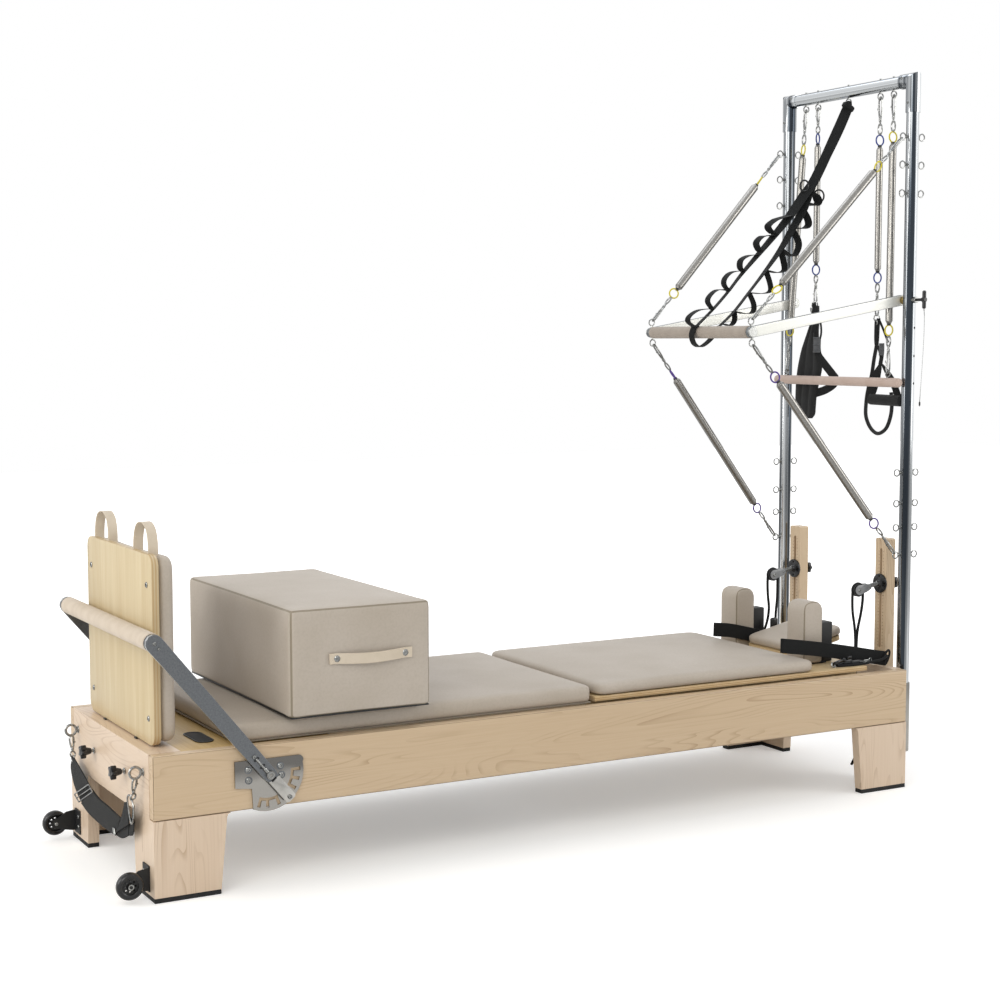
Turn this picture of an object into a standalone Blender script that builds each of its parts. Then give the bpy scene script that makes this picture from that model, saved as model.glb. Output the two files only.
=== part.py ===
"""Pilates reformer with a tower, in metres, +Z up, standing on z = 0.

+X runs from the foot end to the tower. The near side, where a user steps on, is -Y.
Every piece hangs under one empty at the middle of the wooden frame, so the shapes below
are written from the middle of the frame on the floor.
"""

import math

import bmesh
import bpy
from mathutils import Matrix, Vector

# Clearances
TOUCH = 0.0003
RUNNING = 0.0004

# The middle of the frame from the middle of the whole footprint, wheels and knobs included
FRAME_CENTRE_X = 0.00875

# A joined shape is set back this far from its neighbour's face, so that no two faces coincide
SETBACK = 0.0002

# Wooden frame
FRAME_LENGTH = 2.350
FRAME_WIDTH = 0.700
RAIL_TOP = 0.359
RAIL_DEPTH = 0.159
RAIL_THICKNESS = 0.030
END_THICKNESS = 0.030
LEG_DEPTH_TOP = 0.186
LEG_DEPTH_BOTTOM = 0.169
LEG_FACE_TOP = 0.155
LEG_FACE_BOTTOM = 0.145
FOOT_HEIGHT = 0.012
END_BOARD_DROP = 0.001
CAP_DEPTH = 0.081
CAP_THICKNESS = 0.020
PLATFORM_LENGTH = 0.394
PLATFORM_THICKNESS = 0.020
PLATFORM_DROP = 0.002

# The frame's end faces and the rails' inner faces, from its middle
END_FACE = FRAME_LENGTH / 2
RAIL_INNER = FRAME_WIDTH / 2 - RAIL_THICKNESS

# Tracks inside the rails
TRACK_TOP = RAIL_TOP - 0.054
TRACK_HEIGHT = 0.045
TRACK_WALL = 0.005
TRACK_SHELF = 0.050
SPRING_BAR_X = 0.555 - END_FACE
TIE_BAR_X = END_FACE - 0.615

# Carriage
DECK_END = END_FACE - 0.122
DECK_START = DECK_END - 0.961
DECK_HALF_WIDTH = RAIL_INNER - 0.010
DECK_UNDERSIDE = RAIL_TOP + 0.003
DECK_THICKNESS = 0.013
BATTEN_OUTER = RAIL_INNER - 0.058
BATTEN_INNER = BATTEN_OUTER - 0.027
BATTEN_BOTTOM = DECK_UNDERSIDE - 0.050
WHEEL_RADIUS = 0.020
WHEEL_WIDTH = 0.016
WHEEL_OFFSET = RAIL_INNER - 0.037
AXLE_RADIUS = 0.005
AXLE_PLACES = {"foot_side_axle": DECK_START + 0.128, "tower_side_axle": DECK_END - 0.133}
PAD_START = DECK_START + 0.002
PAD_END = DECK_END - 0.190
PAD_HALF_WIDTH = DECK_HALF_WIDTH + 0.010
PAD_SIDE_HEIGHT = 0.030
PAD_CROWN = 0.014

# Springs under the carriage
KEEPER_X = DECK_END - 0.345
KEEPER_HALF = 0.190
STORED_SPRING_RADIUS = 0.012
STORED_SPRING_PITCH = 0.080
STORED_SPRINGS = 5

# Shoulder rests and headrest
REST_START = DECK_END - 0.163
REST_END = REST_START + 0.075
REST_INNER = 0.125
REST_OUTER = 0.2135
REST_HEIGHT = 0.190
REST_POST_END = REST_END + 0.053
REST_POST_INNER = 0.148
REST_POST_OUTER = 0.190
REST_POST_TOP = RAIL_TOP + 0.137
HEADREST_HINGE_X = DECK_END - 0.138
HEADREST_HINGE_RISE = 0.004
HEADREST_TILT = math.radians(12)
HEADREST_LENGTH = 0.211
HEADREST_HALF_WIDTH = 0.115
HEADREST_BOARD = 0.012
HEADREST_PAD = 0.024
KNUCKLE_SPANS = ((-0.0905, -0.0695), (0.0695, 0.0905))
LEAF_SPANS = ((-0.0692, -0.045), (0.045, 0.0692))
KNUCKLE_RADIUS = 0.0036

# Conversion mat and sitting box
MAT_START = 0.215 - END_FACE
MAT_END = DECK_START - 0.009
MAT_HALF_WIDTH = FRAME_WIDTH / 2 - 0.025
MAT_SIDE_HEIGHT = 0.0455
MAT_CROWN = 0.0125
BOX_START = MAT_START + 0.127
BOX_DEPTH = 0.398
BOX_END = BOX_START + BOX_DEPTH
BOX_HALF_WIDTH = 0.375
BOX_HEIGHT = 0.271

# Jump board
JUMP_BOARD_FACE_X = 0.032 - END_FACE
JUMP_BOARD_THICKNESS = 0.019
JUMP_BOARD_HALF_WIDTH = 0.268
JUMP_BOARD_BOTTOM = RAIL_TOP + 0.003
JUMP_BOARD_HEIGHT = 0.470
JUMP_BOARD_TOP = JUMP_BOARD_BOTTOM + JUMP_BOARD_HEIGHT
JUMP_BOARD_CORNER = 0.030
JUMP_PAD_DEPTH = 0.038
LOOP_SPREAD = 0.163
LOOP_HALF_WIDTH = 0.060
LOOP_RISE = 0.073
LOOP_BAND_WIDTH = 0.028
LOOP_BAND_THICKNESS = 0.0025
PEG_SPREAD = 0.130
PEG_WIDTH = 0.020
PEG_THICKNESS = 0.006
PEG_REACH = 0.060

# Footbar and its gear plates
PLATE_THICKNESS = 0.0045
PIVOT_X = 0.291 - END_FACE
PIVOT_Z = RAIL_TOP - 0.072
PIVOT_PIN_RADIUS = 0.006
FOOTBAR_ANGLE = math.radians(129.6)
FOOTBAR_REACH = 0.4517
ARM_INNER = FRAME_WIDTH / 2 + 0.0105
ARM_THICKNESS = 0.010
ARM_HALF_NEAR_PIVOT = 0.0175
ARM_HALF_AT_BAR = 0.022
TONGUE_LENGTH = 0.0885
TONGUE_HALF = 0.0145
FOOTBAR_RADIUS = 0.0125
FOOTBAR_GRIP_RADIUS = 0.0225
FOOTBAR_GRIP_HALF = ARM_INNER - 0.0085

# Foot-end hardware
KNOB_Z = RAIL_TOP - 0.079
KNOB_RADIUS = 0.0185
KNOB_STUD_RADIUS = 0.004
EYE_BOLT_SPREAD = FRAME_WIDTH / 2 - 0.073
EYE_BOLT_Z = RAIL_TOP - 0.051
EYE_BOLT_X = -END_FACE - 0.020
EYE_BOLT_RADIUS = 0.0165
EYE_BOLT_HOLE = 0.0115
EYE_BOLT_WIDTH = 0.005
EYE_BOLT_CORNERS = 12
CASTER_X = -END_FACE - 0.055
CASTER_Z = 0.047
CASTER_SPREAD = FRAME_WIDTH / 2 - 0.021
CASTER_RADIUS = 0.0335
CASTER_WIDTH = 0.023
CASTER_ARM = 0.004

# Tower
POST_X = END_FACE + 0.032
POST_SPREAD = FRAME_WIDTH / 2 - 0.057
POST_RADIUS = 0.019
POST_WALL = 0.002
POST_BOTTOM = 0.105
TOWER_TOP = 2.133
POST_TOP = TOWER_TOP - 0.083
ELBOW_RADIUS = POST_RADIUS + 0.005
SLEEVE_RADIUS = POST_RADIUS + 0.0035
BASE_SLEEVE_TOP = RAIL_TOP - 0.049
BASE_SLEEVE_BOTTOM = 0.098
TOP_SLEEVE_BOTTOM = POST_TOP - 0.030
EYE_RADIUS = 0.010
EYE_HOLE = 0.0062
EYE_WIDTH = 0.004
EYE_CORNERS = 6
EYE_REACH = POST_RADIUS + 0.018
UPPER_EYES = (1.948, 1.866, 1.782)
LOWER_EYES = (0.950, 0.857, 0.784, 0.701)
TOP_EYE_Z = TOWER_TOP - 2 * POST_RADIUS - 0.008
TOP_EYES = (-0.208, -0.148, 0.0, 0.148, 0.208)

# Pulley risers
RISER_FACE_X = END_FACE + 0.012
RISER_DEPTH = 0.034
RISER_INNER = POST_SPREAD - 0.108
RISER_OUTER = POST_SPREAD - 0.058
RISER_BOTTOM = RAIL_TOP - 0.139
RISER_TOP = RAIL_TOP + 0.384
SLOT_BOTTOM = RISER_BOTTOM + 0.183
SLOT_TOP = RISER_TOP - 0.031
SLOT_WIDTH = 0.010
PULLEY_X = RISER_FACE_X - 0.090
PULLEY_STEM_Z = SLOT_BOTTOM + 0.202
PULLEY_Z = PULLEY_STEM_Z - 0.015
PULLEY_RADIUS = 0.021
PULLEY_WIDTH = 0.012
DISC_RADIUS = 0.0295
PULLEY_KNOB_END = RISER_FACE_X + 0.059

# Push-through bar
PTB_PIVOT_Z = 1.467
PTB_BAR_X = POST_X - 0.557
PTB_BAR_Z = PTB_PIVOT_Z - 0.096
PTB_ARM_OUTER = POST_SPREAD - POST_RADIUS - 0.012
PTB_ARM_INNER = PTB_ARM_OUTER - 0.014
PTB_ARM_HALF_HEIGHT = 0.016
PTB_GRIP_RADIUS = 0.018
PTB_EYE_RISE = 0.032
PTB_STUD_RADIUS = 0.008

# Roll-down bar
ROLL_RADIUS = 0.014
ROLL_X = POST_X - POST_RADIUS - ROLL_RADIUS - 0.003
ROLL_Z = 1.220
ROLL_EYE_SPREAD = PTB_ARM_INNER - 0.004
ROLL_HALF = ROLL_EYE_SPREAD + 0.056

# Hanging springs
WIRE_RADIUS = 0.00175
COIL_RADIUS = 0.0098
CURLS = 5
CURL_POINTS = 8
HOOK_LEAD = 0.110

# Straps
LADDER_WIDTH = 0.028
LADDER_THICKNESS = 0.003
LADDER_SPLIT = (POST_X - 0.161, TOP_EYE_Z - 0.255)
LADDER_UPPER_SEAT = 66
LADDER_LOWER_SEAT = 24
LADDER_LOOPS = 6
SMALL_STRAP_X = POST_X
HANDLE_HOOK_Z = 1.417
THIGH_HOOK_Z = 1.462
HANDLE_RADIUS = 0.0155

ORIGIN = None
PARTS = None
HELPERS = None
MATERIALS = {}

FINISHES = {
    "maple": ((0.74, 0.58, 0.41), 0.45, 0.0),
    "birch_ply": ((0.80, 0.68, 0.42), 0.40, 0.0),
    "vinyl": ((0.62, 0.57, 0.48), 0.55, 0.0),
    "grip_foam": ((0.52, 0.45, 0.40), 0.80, 0.0),
    "steel": ((0.62, 0.62, 0.62), 0.30, 1.0),
    "dark_steel": ((0.20, 0.21, 0.22), 0.45, 0.9),
    "aluminium": ((0.72, 0.73, 0.74), 0.35, 1.0),
    "white_metal": ((0.80, 0.80, 0.78), 0.35, 0.3),
    "black_plastic": ((0.03, 0.03, 0.03), 0.45, 0.0),
    "black_rubber": ((0.02, 0.02, 0.02), 0.85, 0.0),
    "webbing": ((0.02, 0.02, 0.02), 0.90, 0.0),
    "beige_webbing": ((0.62, 0.54, 0.44), 0.80, 0.0),
    "rope": ((0.02, 0.02, 0.02), 0.85, 0.0),
    "spring_steel": ((0.45, 0.44, 0.42), 0.35, 1.0),
}


# Scene and materials


def clear_scene():
    for obj in list(bpy.data.objects):
        bpy.data.objects.remove(obj, do_unlink=True)


def add_collection(name):
    group = bpy.data.collections.new(name)
    bpy.context.scene.collection.children.link(group)
    return group


def add_material(name, colour, roughness, metallic):
    material = bpy.data.materials.new(name)
    material.use_nodes = True
    shader = material.node_tree.nodes["Principled BSDF"]
    shader.inputs["Base Color"].default_value = (*colour, 1.0)
    shader.inputs["Roughness"].default_value = roughness
    shader.inputs["Metallic"].default_value = metallic
    material.diffuse_color = (*colour, 1.0)
    return material


def add_object(name, data, finish):
    """A named piece under the frame's empty, shaded smooth where its faces nearly agree."""
    obj = bpy.data.objects.new(name, data)
    PARTS.objects.link(obj)
    obj.parent = ORIGIN
    data.materials.clear()
    data.materials.append(MATERIALS[finish])
    if obj.type == "MESH":
        data.shade_smooth()
        data.set_sharp_from_angle(angle=math.radians(35))
    return obj


def helper(obj):
    """Turns an object into a cutter or a joining shape, which no render shows."""
    PARTS.objects.unlink(obj)
    HELPERS.objects.link(obj)
    obj.hide_render = True
    obj.display_type = "WIRE"
    return obj


def set_origin(obj, point):
    """Moves an object's origin to a joint's axis and leaves the shape where it is."""
    offset = Vector(point)
    obj.data.transform(Matrix.Translation(-offset))
    obj.location = offset


def boolean(obj, other, operation):
    modifier = obj.modifiers.new(operation.lower(), "BOOLEAN")
    modifier.operation = operation
    modifier.solver = "EXACT"
    modifier.object = helper(other)


def join(obj, *others):
    for other in others:
        boolean(obj, other, "UNION")


def cut(obj, *others):
    for other in others:
        boolean(obj, other, "DIFFERENCE")


# Basic shapes


def mesh_from(shape, name):
    bmesh.ops.recalc_face_normals(shape, faces=shape.faces)
    mesh = bpy.data.meshes.new(name)
    shape.to_mesh(mesh)
    shape.free()
    return mesh


def add_box_to(shape, low, high):
    """Adds a box between two corners to a bmesh."""
    made = bmesh.ops.create_cube(shape, size=1.0)["verts"]
    size = [top - bottom for bottom, top in zip(low, high)]
    middle = [(top + bottom) / 2 for bottom, top in zip(low, high)]
    bmesh.ops.scale(shape, vec=size, verts=made)
    bmesh.ops.translate(shape, vec=middle, verts=made)


def boxes(name, corners, finish):
    shape = bmesh.new()
    for low, high in corners:
        add_box_to(shape, low, high)
    return add_object(name, mesh_from(shape, name), finish)


def box(name, low, high, finish, bevel=0.0):
    obj = boxes(name, [(low, high)], finish)
    if bevel:
        edge = obj.modifiers.new("rounded edges", "BEVEL")
        edge.width = bevel
        edge.segments = 1
    return obj


def rods(name, ends, radius, finish, sides=12):
    """Round bars, each between two points, in one mesh."""
    shape = bmesh.new()
    for start, end in ends:
        start = Vector(start)
        along = Vector(end) - start
        made = bmesh.ops.create_cone(
            shape,
            cap_ends=True,
            segments=sides,
            radius1=radius,
            radius2=radius,
            depth=along.length,
        )["verts"]
        turn = along.to_track_quat("Z", "Y").to_matrix().to_4x4()
        place = Matrix.Translation(start + along / 2) @ turn
        bmesh.ops.transform(shape, matrix=place, verts=made)
    return add_object(name, mesh_from(shape, name), finish)


def rod(name, start, end, radius, finish, sides=12):
    return rods(name, [(start, end)], radius, finish, sides)


def turned(name, profile, finish, centre, axis, sides=24):
    """A solid of revolution. The profile is (radius, height) down its outer side."""
    shape = bmesh.new()
    points = [shape.verts.new((radius, 0, height)) for radius, height in profile]
    for pair in zip(points, points[1:]):
        shape.edges.new(pair)
    if profile[0][0] > 0:
        shape.edges.new((points[-1], points[0]))
    mesh = bpy.data.meshes.new(name)
    shape.to_mesh(mesh)
    shape.free()
    obj = add_object(name, mesh, finish)
    obj.location = centre
    obj.rotation_euler = Vector(axis).to_track_quat("Z", "Y").to_euler()
    screw = obj.modifiers.new("turned", "SCREW")
    screw.steps = sides
    screw.render_steps = sides
    screw.use_merge_vertices = True
    screw.merge_threshold = 0.00001
    screw.use_normal_calculate = False
    return obj


def as_mesh(obj):
    """Replaces a curve or a modified mesh by the mesh it shows, with its caps welded."""
    bpy.context.view_layer.update()
    graph = bpy.context.evaluated_depsgraph_get()
    mesh = bpy.data.meshes.new_from_object(obj.evaluated_get(graph))
    shape = bmesh.new()
    shape.from_mesh(mesh)
    bmesh.ops.remove_doubles(shape, verts=shape.verts, dist=0.00001)
    bmesh.ops.recalc_face_normals(shape, faces=shape.faces)
    shape.to_mesh(mesh)
    shape.free()
    name = obj.name
    place = obj.matrix_local.copy()
    finish = obj.data.materials[0].name
    bpy.data.objects.remove(obj, do_unlink=True)
    made = add_object(name, mesh, finish)
    made.matrix_local = place
    return made


TO_XZ = Matrix(((1, 0, 0, 0), (0, 0, -1, 0), (0, 1, 0, 0), (0, 0, 0, 1)))
TO_YZ = Matrix(((0, 0, 1, 0), (1, 0, 0, 0), (0, 1, 0, 0), (0, 0, 0, 1)))
TO_XY = Matrix.Identity(4)


def plate(name, outlines, plane, low, high, finish):
    """A flat outline, with any further outlines as its holes, between two levels across it."""
    curve = bpy.data.curves.new(name, "CURVE")
    curve.dimensions = "2D"
    curve.fill_mode = "BOTH"
    curve.extrude = (high - low) / 2
    for outline in outlines:
        spline = curve.splines.new("POLY")
        spline.points.add(len(outline) - 1)
        for point, (across, up) in zip(spline.points, outline):
            point.co = (across, up, 0, 1)
        spline.use_cyclic_u = True
    made = as_mesh(add_object(name, curve, finish))
    level = (high + low) / 2
    if plane is TO_XZ:
        level = -level
    made.data.transform(plane @ Matrix.Translation((0, 0, level)))
    return made


def tube(name, points, radius, finish, resolution=2):
    curve = bpy.data.curves.new(name, "CURVE")
    curve.dimensions = "3D"
    curve.bevel_depth = radius
    curve.bevel_resolution = resolution
    curve.use_fill_caps = True
    spline = curve.splines.new("POLY")
    spline.points.add(len(points) - 1)
    for point, place in zip(spline.points, points):
        point.co = (*place, 1)
    return add_object(name, curve, finish)


def arc(centre, radius, start, end, steps):
    """Points of an arc between two angles in degrees."""
    points = []
    for step in range(steps + 1):
        angle = math.radians(start + (end - start) * step / steps)
        points.append(
            (
                centre[0] + radius * math.cos(angle),
                centre[1] + radius * math.sin(angle),
            )
        )
    return points


def rounded_rectangle(half_x, half_y, radius, steps=3, draw=0.0):
    """Outline round the middle; draw pulls the middle of each side in."""
    points = []
    corners = ((1, 1, 0), (-1, 1, 90), (-1, -1, 180), (1, -1, 270))
    for index, (side_x, side_y, start) in enumerate(corners):
        centre = (side_x * (half_x - radius), side_y * (half_y - radius))
        points += arc(centre, radius, start, start + 90, steps)
        if draw:
            if index % 2 == 0:
                points.append((0.0, side_y * (half_y - draw)))
            else:
                points.append((side_x * (half_x - draw), 0.0))
    return points


def rounded_box_outline(low, high, radii, steps=3):
    """Outline of a box in a plane; radii go round from the low corner against the clock."""
    corners = (
        (low[0], low[1], 180, 1, 1),
        (high[0], low[1], 270, -1, 1),
        (high[0], high[1], 0, -1, -1),
        (low[0], high[1], 90, 1, -1),
    )
    points = []
    for (across, up, start, turn_x, turn_y), radius in zip(corners, radii):
        if radius:
            centre = (across + turn_x * radius, up + turn_y * radius)
            points += arc(centre, radius, start, start + 90, steps)
        else:
            points.append((across, up))
    return points


def lofted(name, outline, rings, finish, crown=0.0):
    """A cushion shape: outline(inset) is lifted through rings of (inset, height).

    The last ring is closed by a fan whose middle stands proud by the crown.
    """
    shape = bmesh.new()
    turn = shape.verts.layers.int.new("place in the outline")
    base = [shape.verts.new((across, along, 0)) for across, along in outline(0)]
    for number, vert in enumerate(base):
        vert[turn] = number
    face = shape.faces.new(base)
    for step, (inset, height) in enumerate(rings):
        if step:
            made = bmesh.ops.extrude_face_region(shape, geom=[face])
            if step > 1:
                bmesh.ops.delete(shape, geom=[face], context="FACES_ONLY")
            face = next(item for item in made["geom"] if isinstance(item, bmesh.types.BMFace))
        placed = outline(inset)
        for vert in face.verts:
            vert.co = (*placed[vert[turn]], height)
    if crown:
        fan = bmesh.ops.poke(shape, faces=[face])
        fan["verts"][0].co.z += crown
    return add_object(name, mesh_from(shape, name), finish)


def mirrored(points):
    """The same outline on the other side of the middle plane of its first coordinate."""
    return [(-across, up) for across, up in points]


SIDES = (("near", -1), ("far", 1))


# Wooden frame


def half_length():
    return FRAME_LENGTH / 2


def half_width():
    return FRAME_WIDTH / 2


def rail_bottom():
    return RAIL_TOP - RAIL_DEPTH


def rail_inner():
    return half_width() - RAIL_THICKNESS


def leg_side_outline(end):
    """Side board of a leg, in X and Z, with a small fillet under the rail."""
    outer = end * half_length()
    lap = outer - end * END_THICKNESS * 0.6
    top = outer - end * LEG_DEPTH_TOP
    bottom = outer - end * LEG_DEPTH_BOTTOM
    fillet = 0.010
    under = rail_bottom() - SETBACK
    return [
        (lap, FOOT_HEIGHT + SETBACK),
        (bottom, FOOT_HEIGHT + SETBACK),
        (top, under - fillet),
        (top - end * fillet * 0.3, under - fillet * 0.3),
        (top - end * fillet, under),
        (lap, under),
    ]


def end_portal_outline():
    """End board with both legs' faces, in Y and Z."""
    inner = rail_inner() - TOUCH
    outer = half_width() - SETBACK
    right = [
        (outer - LEG_FACE_TOP, rail_bottom() - END_BOARD_DROP),
        (outer - LEG_FACE_BOTTOM, FOOT_HEIGHT),
        (outer, FOOT_HEIGHT),
        (outer, rail_bottom()),
        (inner, rail_bottom()),
        (inner, RAIL_TOP),
    ]
    return right + mirrored(right)[::-1]


def end_frame(name, end):
    low, high = sorted((end * half_length(), end * (half_length() - END_THICKNESS)))
    frame = plate(name, [end_portal_outline()], TO_YZ, low, high, "maple")
    for side_name, side in SIDES:
        low, high = sorted((side * half_width(), side * rail_inner()))
        board = plate(
            f"{name}_{side_name}_leg", [leg_side_outline(end)], TO_XZ, low, high, "maple"
        )
        join(frame, board)
    return frame


def eye_ring(name, centres, radius=EYE_RADIUS, hole=EYE_HOLE, width=EYE_WIDTH, corners=EYE_CORNERS):
    """Flat steel rings in one mesh, with their axes across the frame."""
    shape = bmesh.new()
    turn = Vector((0, 1, 0)).to_track_quat("Z", "Y").to_matrix().to_4x4()
    for centre in centres:
        section = [(hole, -width / 2), (hole, width / 2), (radius, width / 2), (radius, -width / 2)]
        points = [shape.verts.new((size, 0, level)) for size, level in section]
        edges = [
            shape.edges.new((point, points[(number + 1) % 4]))
            for number, point in enumerate(points)
        ]
        bmesh.ops.spin(
            shape,
            geom=points + edges,
            cent=(0, 0, 0),
            axis=(0, 0, 1),
            angle=math.tau,
            steps=corners,
            use_merge=True,
        )
        verts = [vert for vert in shape.verts if not vert.tag]
        bmesh.ops.transform(shape, matrix=Matrix.Translation(centre) @ turn, verts=verts)
        for vert in verts:
            vert.tag = True
    return add_object(name, mesh_from(shape, name), "steel")


def wooden_frame():
    bottom = rail_bottom() + TOUCH
    for side_name, side in SIDES:
        low, high = sorted((side * half_width(), side * rail_inner()))
        box(
            f"{side_name}_side_rail",
            (-half_length(), low, bottom),
            (half_length(), high, RAIL_TOP),
            "maple",
            bevel=0.0025,
        )
    foot = end_frame("foot_end_frame", -1)
    end_face = -half_length()
    cap = box(
        "foot_end_cap",
        (end_face + END_THICKNESS / 2, -rail_inner() + 2 * TOUCH, RAIL_TOP - CAP_THICKNESS),
        (end_face + CAP_DEPTH - TOUCH, rail_inner() - 2 * TOUCH, RAIL_TOP - SETBACK),
        "maple",
    )
    join(foot, cap)
    places = [(EYE_BOLT_X, side * EYE_BOLT_SPREAD, EYE_BOLT_Z) for _, side in SIDES]
    join(
        foot,
        rods(
            "eye_bolt_shanks",
            [((x + 0.0140, y, z), (end_face + 0.012, y, z)) for x, y, z in places],
            0.003,
            "steel",
            8,
        ),
        eye_ring(
            "eye_bolt_rings",
            places,
            EYE_BOLT_RADIUS,
            EYE_BOLT_HOLE,
            EYE_BOLT_WIDTH,
            EYE_BOLT_CORNERS,
        ),
    )
    holes = [
        (
            (end_face - 0.005, side * PEG_SPREAD, KNOB_Z),
            (end_face + END_THICKNESS + 0.005, side * PEG_SPREAD, KNOB_Z),
        )
        for _, side in SIDES
    ]
    cut(foot, rods("knob_holes", holes, KNOB_STUD_RADIUS + RUNNING + 0.0002, "steel", 12))
    slack = 0.0005
    start = JUMP_BOARD_FACE_X + 0.007
    slots = [
        (
            (start - slack, side * PEG_SPREAD - PEG_WIDTH / 2 - slack, RAIL_TOP - 0.03),
            (
                start + PEG_THICKNESS + slack,
                side * PEG_SPREAD + PEG_WIDTH / 2 + slack,
                RAIL_TOP + 0.01,
            ),
        )
        for _, side in SIDES
    ]
    cut(foot, boxes("peg_slots", slots, "steel"))
    end_frame("head_end_frame", 1)
    for end_name, end in (("foot_end", -1), ("head_end", 1)):
        for side_name, side in SIDES:
            rubber_foot(f"{side_name}_{end_name}_foot", end, side)
    front = end_face + CAP_DEPTH
    top = RAIL_TOP - PLATFORM_DROP
    box(
        "foot_platform",
        (front, -rail_inner() + TOUCH, top - PLATFORM_THICKNESS),
        (front + PLATFORM_LENGTH, rail_inner() - TOUCH, top),
        "birch_ply",
    )


def rubber_foot(name, end, side):
    """L-shaped pad under a leg."""
    outer_x = end * half_length()
    outer_y = side * half_width()
    outline = [
        (outer_x, outer_y),
        (outer_x - end * LEG_DEPTH_BOTTOM, outer_y),
        (outer_x - end * LEG_DEPTH_BOTTOM, outer_y - side * RAIL_THICKNESS),
        (outer_x - end * END_THICKNESS, outer_y - side * RAIL_THICKNESS),
        (outer_x - end * END_THICKNESS, outer_y - side * LEG_FACE_BOTTOM),
        (outer_x, outer_y - side * LEG_FACE_BOTTOM),
    ]
    plate(name, [outline], TO_XY, 0.0, FOOT_HEIGHT - TOUCH, "black_rubber")


def track_frame():
    """Both aluminium tracks, joined by the spring bar and a tie bar."""
    end = half_length() - END_THICKNESS - TOUCH
    outer = rail_inner() - TOUCH
    inner = outer - TRACK_WALL
    shelf_low = TRACK_TOP - TRACK_WALL
    base = TRACK_TOP - 0.020
    profile = [
        (outer, base),
        (outer, base + TRACK_HEIGHT),
        (inner, base + TRACK_HEIGHT),
        (inner, TRACK_TOP),
        (outer - TRACK_SHELF, TRACK_TOP),
        (outer - TRACK_SHELF, shelf_low),
        (inner, shelf_low),
        (inner, base),
    ]
    tracks = plate("track_frame", [profile], TO_YZ, -end, end, "aluminium")
    other = plate("far_track", [mirrored(profile)], TO_YZ, -end, end, "aluminium")
    reach = outer - TRACK_WALL / 2
    bars = [
        (
            (place - 0.020, -reach, TRACK_TOP - 0.0175),
            (place + 0.020, reach, TRACK_TOP - 0.0020),
        )
        for place in (SPRING_BAR_X, TIE_BAR_X)
    ]
    join(tracks, boxes("cross_bars", bars, "aluminium"), other)


# Carriage


def deck_top():
    return DECK_UNDERSIDE + DECK_THICKNESS


def axle_height():
    return TRACK_TOP + TOUCH + WHEEL_RADIUS


def carriage():
    top = deck_top()
    deck = box(
        "carriage_deck",
        (DECK_START, -DECK_HALF_WIDTH, DECK_UNDERSIDE),
        (DECK_END, DECK_HALF_WIDTH, top),
        "birch_ply",
    )
    battens = []
    for _, side in SIDES:
        low, high = sorted((side * BATTEN_INNER, side * BATTEN_OUTER))
        battens.append(
            (
                (DECK_START + SETBACK, low, BATTEN_BOTTOM),
                (DECK_END - SETBACK, high, DECK_UNDERSIDE + DECK_THICKNESS / 2),
            )
        )
    join(deck, boxes("battens", battens, "birch_ply"))
    hinge_z = top + HEADREST_HINGE_RISE
    join(
        deck,
        boxes(
            "hinge_ears",
            [
                (
                    (HEADREST_HINGE_X - 0.0025, low, top - 0.002),
                    (HEADREST_HINGE_X + 0.0025, high, hinge_z),
                )
                for low, high in ((-0.090, -0.070), (0.070, 0.090))
            ],
            "steel",
        ),
        rods(
            "hinge_knuckles",
            [
                ((HEADREST_HINGE_X, low, hinge_z), (HEADREST_HINGE_X, high, hinge_z))
                for low, high in KNUCKLE_SPANS
            ],
            KNUCKLE_RADIUS,
            "steel",
            10,
        ),
    )
    bores = [
        ((place, -DECK_HALF_WIDTH, axle_height()), (place, DECK_HALF_WIDTH, axle_height()))
        for place in AXLE_PLACES.values()
    ]
    cut(deck, rods("axle_bores", bores, AXLE_RADIUS + 1.5 * RUNNING, "steel", 12))
    inner = WHEEL_OFFSET - WHEEL_WIDTH / 2
    outer = WHEEL_OFFSET + WHEEL_WIDTH / 2
    for name, place in AXLE_PLACES.items():
        profile = [
            (0, outer),
            (WHEEL_RADIUS, outer),
            (WHEEL_RADIUS, inner),
            (AXLE_RADIUS, inner),
            (AXLE_RADIUS, -inner),
            (WHEEL_RADIUS, -inner),
            (WHEEL_RADIUS, -outer),
            (0, -outer),
        ]
        turned(name, profile, "black_plastic", (place, 0, axle_height()), (0, 1, 0), 16)
    stored_springs()
    pad_length = PAD_END - PAD_START
    pad = lofted(
        "carriage_pad",
        lambda inset: rounded_rectangle(
            pad_length / 2 - inset, PAD_HALF_WIDTH - inset, 0.055 - inset, 4, draw=0.004 + inset
        ),
        [
            (0.003, top + TOUCH),
            (0.000, top + 0.006),
            (0.002, top + PAD_SIDE_HEIGHT * 0.75),
            (0.009, top + PAD_SIDE_HEIGHT),
            (0.045, top + PAD_SIDE_HEIGHT + PAD_CROWN * 0.6),
        ],
        "vinyl",
        crown=PAD_CROWN * 0.4,
    )
    pad.location.x = (PAD_START + PAD_END) / 2


def stored_springs():
    """The five drive springs, unhooked and stored under the deck between two keeper bars."""
    top = DECK_UNDERSIDE - TOUCH
    centre = top - 0.001 - STORED_SPRING_RADIUS
    start = DECK_START + 0.028
    rows = [
        (number - (STORED_SPRINGS - 1) / 2) * STORED_SPRING_PITCH
        for number in range(STORED_SPRINGS)
    ]
    springs = rods(
        "carriage_springs",
        [((start, row, centre), (KEEPER_X, row, centre)) for row in rows],
        STORED_SPRING_RADIUS,
        "spring_steel",
        8,
    )
    bars = [
        ((place - 0.009, -KEEPER_HALF, top - 0.016), (place + 0.009, KEEPER_HALF, top))
        for place in (start, KEEPER_X)
    ]
    join(springs, boxes("keeper_bars", bars, "steel"))


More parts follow.
